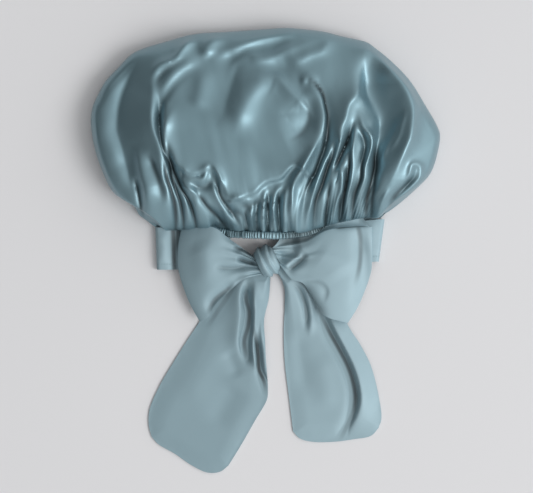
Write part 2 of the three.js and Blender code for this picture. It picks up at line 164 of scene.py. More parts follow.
def foldField(x, y, folds, crisp=2):
    # a fold is a height, a reach to the left of travel and one to its right, a sharpness, a path in pixels
    # and, where the height doesn't give it, a painted shade; returns the lift, and from 0 to 1 the shade painted into
    # narrow creases
    flat = np.column_stack((np.ravel(x), np.ravel(y)))
    total, crease = np.zeros((2, len(flat)))
    rounding = foldForm["rounding"]
    for height, reachLeft, reachRight, power, pointsPx, *shade in folds:
        line = Path(fromPhoto(pointsPx), foldForm["samples"]).points
        near = nearLine(flat, line, 3 * max(reachLeft, reachRight))
        if not len(near):
            continue
        spots = flat[near]
        best, reach, along = np.full(len(near), np.inf), reachLeft, 0
        for i, (a, b) in enumerate(zip(line[:-1], line[1:])):
            distance, share = besideSpan(spots, a, b)
            left = (b[0] - a[0]) * (spots[:, 1] - a[1]) - (b[1] - a[1]) * (spots[:, 0] - a[0]) >= 0
            closer = distance < best
            best = np.where(closer, distance, best)
            reach = np.where(closer, np.where(left, reachLeft, reachRight), reach)
            along = np.where(closer, (i + share) / (len(line) - 1), along)
        taper = smooth(np.minimum(along, 1 - along), 0, foldForm["fadeShare"])
        rounded = np.sqrt(best ** 2 + rounding) - rounding ** 0.5
        total[near] += height * np.exp(-((rounded / reach) ** power)) * taper
        # painted shade: deep narrow creases, and folds given a shade, darken the colour along their line
        if shade or (height < 0 and min(reachLeft, reachRight) < foldForm["narrowReach"]):
            dark = shade[0] if shade else min(-height / foldForm["darkDepth"], 1)
            width = np.minimum(foldForm["shadeShare"] * reach, foldForm["shadeReach"])
            crease[near] = np.maximum(crease[near], dark * (np.exp(-((best / width) ** crisp)) * taper))
    return total.reshape(np.shape(x)), crease.reshape(np.shape(x))


def plateau(x, y, height, width, pointsPx):
    # a raised patch: height inside a closed outline, falling over the given width at its edge
    line = Path(fromPhoto(pointsPx + pointsPx[:2]), 8).points
    flat = np.column_stack((np.ravel(x), np.ravel(y)))
    near = nearLine(flat, line, 3 * width)
    spots = flat[near]
    best = np.full(len(near), np.inf)
    inside = np.zeros(len(near), bool)
    for a, b in zip(line[:-1], line[1:]):
        best = np.minimum(best, besideSpan(spots, a, b)[0])
        crosses = (a[1] > spots[:, 1]) != (b[1] > spots[:, 1])
        rise = b[1] - a[1]
        inside ^= crosses & (spots[:, 0] < a[0] + (spots[:, 1] - a[1]) * (b[0] - a[0]) / (rise or 1e-12))
    total = np.zeros(len(flat))
    total[near] = height * smooth(np.where(inside, best, -best), -width / 2, width / 2)
    return total.reshape(np.shape(x))


def addObject(name, data):
    thing = bpy.data.objects.new(name, data)
    bpy.context.scene.collection.objects.link(thing)
    return thing


def makeMesh(name, points, faces, material, uv=None, sharpAngle=60):
    # the points are in millimetres, and the mesh is in metres
    mesh = bpy.data.meshes.new(name)
    points = np.reshape(points, (-1, 3)) * mm
    faces = np.asarray(faces, np.int32)
    mesh.vertices.add(len(points))
    mesh.vertices.foreach_set("co", np.asarray(points, np.float32).ravel())
    mesh.loops.add(faces.size)
    mesh.loops.foreach_set("vertex_index", faces.ravel())
    mesh.polygons.add(len(faces))
    mesh.polygons.foreach_set("loop_start", np.arange(0, faces.size, faces.shape[1], dtype=np.int32))
    mesh.update(calc_edges=True)
    mesh.polygons.foreach_set("use_smooth", np.ones(len(faces), bool))
    if uv is not None:
        layer = mesh.uv_layers.new(name="cloth")
        layer.data.foreach_set("uv", np.asarray(uv, np.float32)[faces.ravel()].ravel())
    mesh.validate()
    mesh.set_sharp_from_angle(angle=math.radians(sharpAngle))
    mesh.materials.append(material)
    return addObject(name, mesh)


def surfaceNormals(grid):
    return unit(np.cross(np.gradient(grid, axis=0), np.gradient(grid, axis=1)))


def ringAngles(sides):
    return np.linspace(0, 2 * np.pi, sides, endpoint=False)[None, :]


def gridFaces(rows, columns, start=0, closed=False):
    # squares between rows of points; where it is closed, the last column is joined to the first
    i, j = np.meshgrid(np.arange(rows - 1), np.arange(columns if closed else columns - 1), indexing="ij")
    a, b = i * columns + j, i * columns + (j + 1) % columns
    return np.stack((a, a + columns, b + columns, b), axis=-1).reshape(-1, 4) + start


def turnedOut(faces, grid, outwards):
    # the faces, turned over where the first one looks away from the given direction
    turn = np.cross(grid[1, 0] - grid[0, 0], grid[0, 1] - grid[0, 0]) @ outwards
    return faces[:, ::-1] if turn < 0 else faces


def clothUv(rows, columns, size):
    u, v = np.meshgrid(np.linspace(0, size[0], rows), np.linspace(0, size[1], columns), indexing="ij")
    return np.column_stack((u.ravel(), v.ravel()))


def twoSided(name, front, back, rims, material, size, outwards, closed=False):
    # both sides of a cloth, joined by the faces of its rims
    rows, columns = front.shape[:2]
    sides = [gridFaces(rows, columns, start, closed) for start in (0, rows * columns)]
    faces = turnedOut(np.vstack((sides[0], sides[1][:, ::-1], *rims)), front, outwards)
    uv = np.tile(clothUv(rows, columns, size), (2, 1))
    return makeMesh(name, np.stack((front, back)), faces, material, uv)


def setPaintedShade(piece, depth):
    # painted shade: one value per point, on both sides of the cloth, read by the satin colour
    layer = piece.data.attributes.new("crease", "FLOAT", "POINT")
    layer.data.foreach_set("value", np.tile(np.ravel(depth), 2).astype(np.float32))


def clothShell(name, grid, thickness, material, size, drop=None, crease=None):
    # a closed sheet: the given front surface, and the same surface moved in by its thickness
    rows, columns = grid.shape[:2]
    inward = -surfaceNormals(grid) if drop is None else np.broadcast_to(drop, grid.shape)
    back = grid + inward * np.broadcast_to(thickness, grid.shape[:2])[..., None]
    count = rows * columns
    index = np.arange(count).reshape(rows, columns)
    rims = [
        np.column_stack((edge[:-1], edge[:-1] + count, edge[1:] + count, edge[1:]))
        for edge in (index[:, 0], index[-1, :], index[::-1, -1], index[0, ::-1])
    ]
    piece = twoSided(name, grid, back, rims, material, size, -inward[0, 0])
    # the shade painted into the colour, where given
    if crease is not None:
        setPaintedShade(piece, crease)
    return piece


def onPlan(shares, height=0):
    rows = np.array([tuple(row) + (0,) * (3 - len(row)) for row in shares], float)
    y = bonnet["napeLine"] + rows[:, 1] * bonnet["crownDepth"]
    return np.column_stack((rows[:, 0] * halfWidth, y, rows[:, 2] * height))


# Node maths written as expressions
class Value:
    def __init__(self, graph, socket):
        self.graph = graph
        self.socket = socket

    def __add__(self, other):
        return self.graph.maths("ADD", self, other)

    def __sub__(self, other):
        return self.graph.maths("SUBTRACT", self, other)

    def __mul__(self, other):
        return self.graph.maths("MULTIPLY", self, other)


class Graph:
    # a node is made with its sockets' values; _0 is a socket by number, and a node stands for its first output
    def __init__(self, tree):
        self.tree = tree
        self.tree.nodes.clear()

    def node(self, kind, settings=None, **sockets):
        made = self.tree.nodes.new(kind)
        for key, value in (settings or {}).items():
            setattr(made, key, value)
        for key, value in sockets.items():
            socket = made.inputs[int(key[1:]) if key[0] == "_" else key.replace("_", " ")]
            if isinstance(value, bpy.types.Node):
                value = self.read(value)
            if isinstance(value, Value):
                self.tree.links.new(value.socket, socket)
            else:
                socket.default_value = value
        return made

    def read(self, made, name=0):
        return Value(self, made.outputs[name])

    def maths(self, operation, a, b):
        return self.read(self.node("ShaderNodeMath", {"operation": operation}, _0=a, _1=b))

    def mixColour(self, share, a, b):
        return self.read(self.node("ShaderNodeMix", {"data_type": "RGBA"}, Factor=share, _6=a, _7=b), 2)

    def noise(self, where, scale, detail, stretch=(1, 1, 1)):
        spread = self.node("ShaderNodeMapping", Vector=where, Scale=stretch)
        return self.read(self.node("ShaderNodeTexNoise", Vector=spread, Scale=scale, Detail=detail))

    def shader(self, **sockets):
        self.node("ShaderNodeOutputMaterial", Surface=self.node("ShaderNodeBsdfPrincipled", **sockets))


def newMaterial(name):
    material = bpy.data.materials.new(name)
    material.use_nodes = True
    return material, Graph(material.node_tree)


def srgb(red, green, blue):
    tones = [c / 255 for c in (red, green, blue)]
    return (*[c / 12.92 if c <= 0.04045 else ((c + 0.055) / 1.055) ** 2.4 for c in tones], 1)


# each satin's tone varies at random between dark and tone; shade scales the dark tone into the painted shade of
# creases
satins = {
    "crown": {
        "tone": (130, 160, 170), "dark": (121, 150, 160), "rough": 0.45, "metal": 0.76, "shade": 0.24, "coat": 0.3,
    },
    "lining": {"tone": (126, 154, 162), "dark": (118, 146, 154), "rough": 0.42, "metal": 0.5, "shade": 0.3},
    "tie": {"tone": (150, 175, 184), "dark": (144, 169, 178), "rough": 0.58, "metal": 0.15, "shade": 0.42},
    # painted shade: the tie satin again, darker, for the left wing and tail
    "leftTieShaded": {"tone": (137, 161, 170), "dark": (131, 156, 165), "rough": 0.58, "metal": 0.15, "shade": 0.42},
}
weave = {
    "bloom": 14, "slubs": (260, 2600, 1), "floats": (900, 5200, 1), "bump": 0.05, "bumpDepth": 0.0003,
    "uneven": 0.1, "coatRough": 0.36, "coatIor": 1.6, "paintedShadeShare": 0.95,
}


def satin(name, look):
    # satin in metres of cloth: long floats in rows, faint slubs along the warp, a soft bloom of tone and painted
    # shade where the crease value says
    material, g = newMaterial(name)
    cloth = g.node("ShaderNodeUVMap", {"uv_map": "cloth"})
    bloom = g.noise(g.read(g.node("ShaderNodeTexCoord"), "Object"), weave["bloom"], 3)
    slubs = g.noise(cloth, 1, 2, weave["slubs"])
    floats = g.noise(cloth, 1, 1, weave["floats"])
    tone = g.mixColour(bloom * 0.7 + slubs * 0.3, srgb(*look["dark"]), srgb(*look["tone"]))
    # painted shade: the colour goes towards a dark shade tone where the crease value is high, as little light reaches
    # the bottom of a narrow crease; the same value carries the shadows painted on the casing and on the wings' tucks
    crease = g.read(g.node("ShaderNodeAttribute", {"attribute_name": "crease"}), "Fac")
    tone = g.mixColour(crease * weave["paintedShadeShare"], tone, srgb(*[c * look["shade"] for c in look["dark"]]))
    rough = slubs * weave["uneven"] + (look["rough"] - weave["uneven"] / 2)
    surface = floats * 0.6 + slubs * 0.4
    bump = g.node("ShaderNodeBump", Strength=weave["bump"], Distance=weave["bumpDepth"], Height=surface)
    g.shader(
        Base_Color=tone, Metallic=look["metal"], Roughness=rough, Normal=bump,
        Coat_Weight=look.get("coat", 0), Coat_Roughness=weave["coatRough"], Coat_IOR=weave["coatIor"],
    )
    return material


crownSatin = satin("crown_satin", satins["crown"])
liningSatin = satin("lining_satin", satins["lining"])
tieSatin = satin("tie_satin", satins["tie"])
leftTieShadedSatin = satin("tie_satin_left_shaded", satins["leftTieShaded"])
threads = {"fibres": 2200, "bump": 0.3, "bumpDepth": 0.0003, "darkShare": 0.86}


def plainThread(name, tone, rough):
    material, g = newMaterial(name)
    fibre = g.noise(g.read(g.node("ShaderNodeTexCoord"), "Object"), threads["fibres"], 2)
    tint = g.mixColour(fibre, srgb(*[threads["darkShare"] * c for c in tone]), srgb(*tone))
    bump = g.node("ShaderNodeBump", Strength=threads["bump"], Distance=threads["bumpDepth"], Height=fibre)
    g.shader(Base_Color=tint, Roughness=rough, Normal=bump)
    return material


sewingThread = plainThread("sewing_thread", (138, 165, 172), 0.6)
wovenElastic = plainThread("woven_elastic", (228, 226, 220), 0.85)
print("materials ready")

# The crown: two layers between the gathered nape edge, the rim and the band seam
crownShape = {
    "rimPx": [
        155,227, 147,220.5, 139,215, 134,206, 122,199, 113,192, 100,165, 93,140, 91,118,
        93,106, 98,95, 105,82, 118,68, 132,54, 145,48, 165,42, 190,35, 205,33, 225,32,
        262,29.5, 287,28, 300,29, 325,32, 340,36, 367,42.5, 375,48, 392,62, 410,81,
        425,105, 437,126, 440,135, 437,155, 430,174, 415,190, 400,203, 386,213,
    ],
    "napeShares": [
        (-0.58, 0.068, 0.25), (-0.477, 0.068, 0.235), (-0.379, 0.071, 0.265), (-0.293, 0.066, 0.34),
        (-0.23, 0.057, 0.46), (-0.172, 0.05, 0.65), (-0.103, 0.047, 0.85), (-0.023, 0.045, 1.0),
        (0.08, 0.043, 0.98), (0.155, 0.047, 0.88), (0.224, 0.054, 0.65), (0.282, 0.068, 0.4),
        (0.34, 0.083, 0.28), (0.454, 0.106, 0.28), (0.569, 0.125, 0.29), (0.644, 0.125, 0.28),
    ],
    "seamShares": [
        (-0.615, 0.066), (-0.54, 0.09), (-0.379, 0.151), (-0.195, 0.217), (-0.006, 0.245),
        (0.195, 0.217), (0.397, 0.165), (0.552, 0.127), (0.661, 0.104),
    ],
    "gatherPullShare": 0.12, "flatSideShare": 0.08,
    "columns": 384, "upperRows": 108, "underRows": 17,
    # how closely the columns and rows stand, at shares of the way
    "columnShares": [
        (0, 0.5), (0.14, 0.6), (0.17, 1.7), (0.3, 1.5), (0.34, 0.8), (0.5, 0.8), (0.56, 1.35), (0.9, 1.35), (1, 0.6),
    ],
    "rowShares": [(0, 1.3), (0.5, 1.2), (0.7, 0.7), (0.9, 0.8), (0.95, 2.2), (1, 3)],
    # unevenness of the whole cloth, how far the folds stray sideways, and its small dents: height and wavelength
    "wide": (1.2, 60), "stray": (1.1, 26), "dents": (0.3, 26),
    "panelRise": 5, "panelEdge": 5, "panelFadePx": (0, 62, 0, 128),
    # the fine gathers above the casing: how many, their height, their reach from the nape and the painted shade in
    # their creases
    "fineGathers": 52, "fineGatherRise": 1.5, "fineGatherReach": 14, "fineGatherShade": 0.4,
    "lipReach": 7, "lipRun": 5, "edgeRoll": 1.5, "edgeRollRun": 3,
    "cut": (0.58, 0.43),
}
crownRim = Path(np.pad(fromPhoto(crownShape["rimPx"]), ((0, 0), (0, 1))))
napeEdge = Path(onPlan(crownShape["napeShares"], bonnet["napeRise"]))
bandSeam = Path(onPlan(crownShape["seamShares"]))

# Folds of the crown: height in mm, reach in mm to the left and right of travel, sharpness, path in pixels and, on
# some, a painted shade from 0 to 1
crownFoldsPx = [
    # the left lobe, its deep valley and the long ridge beside it
    (-12, 32, 12, 1.25, [150,48, 139,66, 129,83, 122,102, 119,128, 124,150, 129,170, 134,192, 142,240]),
    (7.5, 6, 18, 1.3, [160,62, 155,80, 153,105, 154,131, 162,151, 167,169, 172,186, 176,208, 178,232]),
    (-5, 2.8, 2.6, 1.3, [160,90, 161,118, 163,140, 167,157, 173,178]),
    (4.5, 15, 4, 1.4, [97,112, 98,130, 101,150, 106,170, 114,187, 124,201]),
    (-6.5, 2.6, 2.6, 1.2, [163,154, 170,180, 175,204, 177,246]),
    (-6.5, 2.6, 2.6, 1.2, [167,144, 173,174, 180,200, 188,246]),
    (-7, 2.6, 2.6, 1.2, [167,134, 173,166, 183,189, 193,210, 203,246]),
    (4.5, 6, 4, 1.35, [179,106, 169,122, 165,134, 166,150, 170,166, 179,184]),
    (3.8, 9, 5, 1.5, [138,144, 142,168, 148,190, 152,216]),
    (-4, 4, 6, 1.6, [149,152, 157,170, 163,186, 167,208]),
    (-5, 3, 3, 1.3, [136,176, 140,196, 144,220]),
    # upper left
    (7, 5, 6, 1.3, [197,33, 191,42, 183,53, 178,60, 160,70, 154,84]),
    (-2.5, 5, 5, 1.6, [190,60, 174,68, 163,78, 157,92]),
    (4.2, 5, 8, 1.5, [203,61, 187,67, 171,81, 157,105]),
    # along the top
    (5.5, 8, 7, 1.5, [224,26, 213,42, 208,52, 211,62]),
    (4, 6, 5, 1.4, [208,64, 230,52, 249,44, 272,38, 316,31]),
    (-2.5, 6, 6, 1.6, [214,66, 236,58, 256,51, 276,47, 304,41]),
    (3.5, 5, 5, 1.3, [226,92, 232,72, 239,61, 250,57, 261,61, 284,54, 306,46, 330,38]),
    (-5.5, 30, 10, 1.3, [214,132, 225,110, 231,92, 233,78, 237,62, 243,44]),
    (3.6, 6, 5, 1.4, [276,54, 295,63, 309,57, 324,51, 334,36]),
    (-3, 9, 8, 1.7, [236,82, 258,72, 280,72, 304,72]),
    # the middle of the panel
    (3, 8, 10, 1.8, [197,114, 202,92, 206,68]),
    (6.8, 20, 12, 1.6, [228,142, 237,123, 246,105, 254,91, 265,79, 280,73]),
    (4, 3.2, 9, 1.3, [262,80, 276,79, 286,90, 297,102, 306,113, 314,124]),
    (-5, 9, 17, 1.3, [301,96, 307,112, 307,126, 299,138, 284,145], 0.45),
    (4, 3, 3, 1.3, [298,86, 307,81, 318,88]),
    (5, 3.8, 16, 1.4, [300,80, 312,88, 319,98, 323,112, 324,132, 321,148, 314,168]),
    (-3, 5, 4, 1.4, [300,77, 313,86, 322,97, 326,112, 327,132, 325,147, 320,162], 1),
    (6, 3, 22, 1.5, [320,132, 311,154, 301,172, 294,188]),
    # beyond the panel: a ridge, the deep valley and the long ridge inside the rim
    (8, 6, 12, 1.3, [361,74, 359,88, 355,98, 348,106, 344,121, 339,133, 338,153, 333,170]),
    (2.2, 8, 12, 1.4, [371,34, 366,46, 362,60, 359,73, 358,90, 354,108]),
    (4.5, 4.5, 4.5, 1.3, [356,97, 369,109, 378,130]),
    (-15, 26, 7, 1.5, [367,50, 365,64, 364,78, 365,90, 368,101, 373,113, 378,124, 378,140, 375,160, 374,180,
        370,236]),
    (-2, 3, 3, 1.5, [378,136, 376,156, 373,180, 371,204, 373,240], 0.8),
    (15, 10, 24, 1.5, [350,32, 370,47, 385,61, 397,76, 406,91, 410,108, 409,130, 404,150, 394,168, 384,189, 376,214]),
    (4.4, 3.3, 9, 1.3, [348,38, 364,45, 377,56, 385,67, 395,78, 403,89, 407,99, 410,110, 410,122, 408,135, 403,150,
        397,165, 392,178]),
    (1.8, 2.5, 3, 1.4, [399,114, 392,134, 384,152, 376,170]),
    (1.6, 2.5, 2.5, 1.4, [403,108, 397,134, 387,156]),
    (4.5, 3, 4, 1.3, [390,206, 400,186, 406,177, 411,166, 418,168, 417,178, 407,190, 391,206]),
    (-5, 4, 4, 1.5, [415,173, 404,186, 394,196, 386,208]),
    # gathers at the lower right, from the casing upwards
    (7.5, 3.5, 4, 1.3, [319,137, 309,157, 298,174, 293,184, 292,201, 291,216, 292,244]),
    (4, 3, 3, 1.3, [296,174, 305,176, 304,189, 299,204, 296,222, 297,244]),
    (6.5, 4, 3.5, 1.3, [329,136, 328,154, 323,167, 316,181, 312,201, 308,214, 308,244]),
    (4, 3, 3, 1.3, [334,176, 329,194, 323,209, 322,242]),
    (5, 3.5, 3, 1.3, [333,178, 339,172, 341,190, 335,206, 331,219, 331,242]),
    (7.5, 3.8, 3.5, 1.3, [356,118, 352,140, 350,158, 349,174, 348,188, 345,206, 346,238]),
    (7.5, 3.8, 3.5, 1.3, [354,106, 359,118, 362,130, 370,140, 371,150, 367,160, 362,171, 360,182, 358,192, 355,206,
        358,234]),
    (3, 3, 4, 1.4, [376,230, 376,214, 381,200, 388,188]),
    (-8, 3, 3, 1.25, [354,120, 346,144, 339,159, 332,176]),
    (-8, 2.8, 2.8, 1.25, [350,136, 348,166, 345,187, 343,202, 342,242]),
    (-6, 3.5, 3.5, 1.4, [367,142, 361,166, 358,182, 353,200, 352,238]),
    (-6, 3.8, 3.8, 1.35, [328,112, 325,132, 323,148, 319,160, 315,170, 309,181, 303,197, 303,244]),
    (-4.5, 3.2, 3.2, 1.4, [357,124, 362,140, 364,152, 361,168]),
    (4, 3, 2.5, 1.3, [345,126, 338,148, 335,160, 329,176]),
    (-7.5, 3.5, 3.5, 1.3, [337,138, 329,164, 322,184, 315,202, 314,244]),
    (-6, 2.6, 2.6, 1.25, [331,178, 326,209, 327,242]),
    (-5, 2.6, 2.6, 1.25, [341,190, 340,214, 338,238]),
    (-7, 5, 3, 1.4, [376,136, 374,160, 370,180, 366,200, 368,232]),
    # gathers at the lower middle and left
    (5, 3, 3.5, 1.3, [180,178, 186,171, 189,177, 203,180, 208,171, 214,171, 220,181, 222,195, 229,203, 237,200,
        251,201, 260,191, 272,182]),
    (3.5, 3, 3, 1.3, [178,182, 189,189, 201,197, 209,204, 222,222]),
    (-3.5, 3.5, 3.5, 1.4, [190,184, 204,188, 214,180]),
    (4, 22, 4, 1.6, [184,178, 186,194, 188,210, 190,242]),
    (3.2, 14, 4, 1.5, [194,194, 198,210, 201,224, 205,244]),
    (3, 17, 4, 1.5, [226,200, 229,212, 231,224, 234,246]),
    (3, 13, 6, 1.5, [371,180, 373,196, 377,212, 384,226]),
    (-6, 2.8, 2.8, 1.25, [194,188, 206,203, 217,216, 236,240]),
    (-6, 3, 3, 1.25, [214,173, 220,194, 229,208, 246,234]),
    (3.5, 3, 3, 1.3, [210,178, 220,202, 240,236]),
    (-3, 3, 3, 1.3, [228,210, 240,214, 254,236]),
    (-3.5, 4, 4, 1.5, [238,206, 252,206, 264,198]),
    (3.5, 3, 3, 1.3, [284,181, 276,196, 273,214, 274,244]),
    (3.5, 2.5, 2.5, 1.3, [267,188, 264,206, 264,242]),
    (-6, 2.5, 2.5, 1.25, [270,190, 268,210, 269,244]),
    (-6, 2.5, 2.5, 1.25, [280,188, 279,210, 280,244]),
    (3.5, 2.5, 2.5, 1.3, [288,182, 284,206, 285,244]),
    (-4.5, 2.5, 2.5, 1.3, [259,198, 257,216, 258,244]),
    (3, 2.5, 2.5, 1.3, [254,200, 252,216, 252,244]),
    (-4, 2.5, 2.5, 1.3, [246,206, 246,220, 247,242]),
]
crownPanelPx = [
    166,104, 162,130, 170,160, 184,172, 198,176, 212,168, 222,185, 230,199, 252,196, 267,184,
    280,180, 294,168, 308,178, 317,166, 323,144, 325,120, 322,102, 315,89, 303,82, 282,72,
    262,68, 240,70, 214,68, 188,80,
]


def crownRelief(x, y, s, fromNape):
    # the folds of the photograph, the raised panel between them and the fine gathers just above the casing
    shape = crownShape
    warp, sway = Noise(11), Noise(5)
    (wideRise, wideRun), (stray, strayRun), (dent, dentRun) = shape["wide"], shape["stray"], shape["dents"]
    wide = warp(x, y, wideRun, 2) * wideRise
    strayX = x + warp(x + 400, y, strayRun, 2) * stray
    strayY = y + warp(x, y + 400, strayRun, 2) * stray
    lift, crease = foldField(strayX, strayY, crownFoldsPx)
    low, high = fromPhoto(shape["panelFadePx"])[:, 1]
    panel = plateau(strayX, strayY, shape["panelRise"], shape["panelEdge"], crownPanelPx)
    lift = lift + wide + panel * smooth(y, low, high)
    lift = lift + dent * warp(x * 1.6 + y * 0.4, y * 0.6 - x * 0.2, dentRun, 2)
    # the fine gathers are uneven in width and depth
    drift = 0.8 * sway(s * 40, 0 * s, 1.3, 2) + 0.012 * fromNape * sway(s * 30, 0 * s + 5, 1.5, 1)
    beat = np.cos(2 * np.pi * (s * shape["fineGathers"] + drift))
    depth = (0.5 + 0.8 * sway(s * 60, 0 * s + 9, 3.1, 1)) * smooth(s, 0.3, 0.42) * smooth(0.86 - s, 0, 0.1)
    fine = shape["fineGatherRise"] * depth * (1.2 * np.abs(beat) ** 0.8 * np.sign(beat) - 0.2)
    nearNape = np.exp(-fromNape / shape["fineGatherReach"])
    # the second value is painted shade: the creases of the folds, and the valleys of the fine gathers near the nape
    return lift + fine * nearNape, np.maximum(crease, np.clip(-fine, 0, 1) * nearNape * shape["fineGatherShade"])


def crownSurface(s, t):
    # s runs round the rim from the left of the mouth to its right; t from the nape (0) to the rim (1) to the seam (2)
    shape = crownShape
    s, t = s[:, None], t[None, :]
    pulled = s[:, 0] - shape["gatherPullShare"] * np.sin(2 * np.pi * s[:, 0])
    rim, nape, seam = [edge[:, None, :] for edge in (crownRim.at(s[:, 0]), napeEdge.at(pulled), bandSeam.at(s[:, 0]))]
    middle = smooth(s, 0, shape["flatSideShare"]) * smooth(1 - s, 0, shape["flatSideShare"])
    turn = lerp(bonnet["sideRimHeight"], bonnet["rimHeight"], middle)
    up, under = np.clip(t, 0, 1), np.clip(t - 1, 0, 1)
    point = np.where((t > 1)[..., None], lerp(rim, seam, under[..., None]), lerp(nape, rim, up[..., None]))
    reach = np.linalg.norm(rim - seam, axis=-1)
    roundUnder = np.minimum(reach * under / np.minimum(bonnet["rimRun"], reach), 1)
    underside = turn * (1 - np.sqrt(1 - (1 - roundUnder) ** 2))
    run = np.linalg.norm((rim - nape)[..., :2], axis=-1)
    fromRim, fromNape = run * (1 - up), run * up
    rollRun = bonnet["rollRun"] * (1 + bonnet["rollUneven"] * np.sin(7 * s) * np.sin(23 * s + 1))
    rise = bonnet["rollRise"] * np.sqrt(1 - (1 - np.minimum(fromRim / rollRun, 1)) ** 2)
    dome = turn + middle * (rise + bonnet["crownLoft"] * (1 - np.exp(-fromRim / bonnet["domeRun"])))
    x = point[..., 0]
    lift, crease = crownRelief(x, point[..., 1], s, fromNape)
    free = smooth(fromRim, 0, 12) * (0.7 + 0.3 * smooth(fromNape, 0, 9))
    swell = 1 - (1 - up) * np.exp(-fromNape / bonnet["napeRun"])
    top = lerp(nape[..., 2], dome, swell) + free * (0.3 + 0.7 * middle) * lift
    # beside the middle the gathers hang over the casing
    over = shape["lipReach"] * np.maximum(smooth(-x, 52, 62), smooth(x, 24, 34)) * middle ** 0.5
    lip = over * (fromNape / shape["lipRun"]) * np.exp(1 - fromNape / shape["lipRun"])
    lip = lip + shape["edgeRoll"] * np.exp(-fromNape / shape["edgeRollRun"])
    grid = point.copy()
    grid[..., 1] -= lip * (t <= 1)
    grid[..., 2] = np.where(t > 1, underside, top)
    return grid, crease * (t <= 1)


def spread(count, density):
    # places from 0 to 1, closer together where the density is higher
    fine = np.linspace(0, 1, 2001)
    total = np.cumsum(np.interp(fine, *np.transpose(density)))
    return np.interp(np.linspace(0, 1, count), (total - total[0]) / (total[-1] - total[0]), fine)


underRows = 1 + np.linspace(0, 1, crownShape["underRows"] + 1)[1:] ** 1.8
crownRows = np.concatenate((spread(crownShape["upperRows"], crownShape["rowShares"]), underRows))
crownColumns = spread(crownShape["columns"], crownShape["columnShares"])
crownGrid, crownPaintedShade = crownSurface(crownColumns, crownRows)
crown = clothShell("crown", crownGrid, bonnet["ply"], crownSatin, crownShape["cut"], None, crownPaintedShade)
print("crown made")
liningGrid = crownSurface(crownColumns[::2], crownRows[::2])[0]
liningGrid = liningGrid - surfaceNormals(liningGrid) * innerPly
crownLining = clothShell("crown_lining_cloth", liningGrid, bonnet["ply"], liningSatin, crownShape["cut"])

# The front band lies under the mouth and is turned over at both ends
band = {
    "width": 45, "loft": 9.0, "seamGap": 1.2, "hemWidth": 7, "hemRise": 0.35,
    "flareShares": {"left": 0.06, "right": 0.2},
    "turnShares": [(0, 1), (0.5, 0.93), (0.9, 0.6), (0.9, 0.35), (0.5, 0.07)],
    "turnedEndShares": {"left": (0.115, 0), "right": (0.26, 0.1)},
    "ripple": 0.5, "rippleRun": 22, "columns": 260, "rows": 30,
    "cut": (0.39, 0.045),
}
# Folds of the band, as for the crown; the first two carry a painted shade in the dark fold at the left end
bandFoldsPx = [
    (-2.5, 4, 4, 1.8, [172,190, 173,236, 175,300], 0.9),
    (-2, 3.5, 3.5, 1.8, [178,180, 178,226, 176,262], 0.8),
    (1.8, 5, 5, 1.6, [160,230, 163,248, 161,268]),
    (1.5, 7, 7, 1.6, [374,214, 372,236, 371,262]),
]


def bandSurface():
    low = onPlan(crownShape["seamShares"])
    ends = []
    for corner, side, name in ((low[0], -1, "left"), (low[-1], 1, "right")):
        reachShare, slantShare = band["turnedEndShares"][name]
        reach = reachShare * halfWidth
        over = corner + (-side * reach, -slantShare * reach, band["loft"])
        ends.append([over, *[
            corner + (side * out * band["loft"] / 2, 0, up * band["loft"]) for out, up in band["turnShares"]
        ]])
    line = Path([*ends[0], *low, *ends[1][::-1]]).at(np.linspace(0, 1, band["columns"]))[:, None, :]
    v = np.linspace(0, 1, band["rows"])[None, :]
    flare = np.where(line[..., 0] < 0, band["flareShares"]["left"], band["flareShares"]["right"])
    x = line[..., 0] - flare * line[..., 0] / halfWidth * band["width"] * v
    y = line[..., 1] - band["seamGap"] - band["width"] * v
    z = np.broadcast_to(line[..., 2], x.shape)
    folds, crease = foldField(x, y, bandFoldsPx, 4)
    upper = smooth(z, 4, band["loft"])
    ripple = band["ripple"] * Noise(21)(x, y, band["rippleRun"], 2) * smooth(z, 2, 6)
    hem = band["hemRise"] * (1 - smooth(np.abs(band["width"] * (1 - v) - band["hemWidth"]), 0.3, 1.2))
    return np.stack((x, y, np.maximum(z + folds * upper + ripple - hem * (z > 4), 0)), axis=-1), crease * upper


bandGrid, bandPaintedShade = bandSurface()
frontBand = clothShell("front_band", bandGrid, bonnet["ply"], tieSatin, band["cut"], None, bandPaintedShade)
facingGrid = bandGrid - surfaceNormals(bandGrid) * innerPly
bandFacing = clothShell("front_band_lining", facingGrid, bonnet["ply"], tieSatin, band["cut"])
print("lining and band made")

# The nape casing: a ruched strip folded round flat elastic
casing = {
    "shares": (0.085, 0.775), "height": 8, "thickness": 4, "wall": 0.6, "clearance": 0.4,
    "insideGap": {"height": 0.5, "thickness": 0.3}, "puckerEvery": 3.1, "puckerRise": 0.5, "rings": 900, "sides": 28,
    "elasticWidth": 4.8, "elasticThickness": 0.9, "elasticRings": 300,
    # its right end lies in the shade of the wing's upper edge
    "shade": 0.15, "rightShade": 0.75, "shadeFrom": 14, "shadeOver": 14,
    "cut": (0.31, 0.018),
}


def casingFrames(count):
    share = np.linspace(*casing["shares"], count)
    step = 0.002
    along = unit(napeEdge.at(share + step) - napeEdge.at(share - step))
    side = unit(np.array((0, 1, 0)) - along * along[:, 1:2])
    centre = napeEdge.at(share) - side * (casing["height"] / 2 + casing["clearance"] + casing["puckerRise"])
    return centre, side, np.cross(along, side), napeEdge.length * (share - share[0])


def oval(wave, power):
    return np.abs(wave) ** power * np.sign(wave)


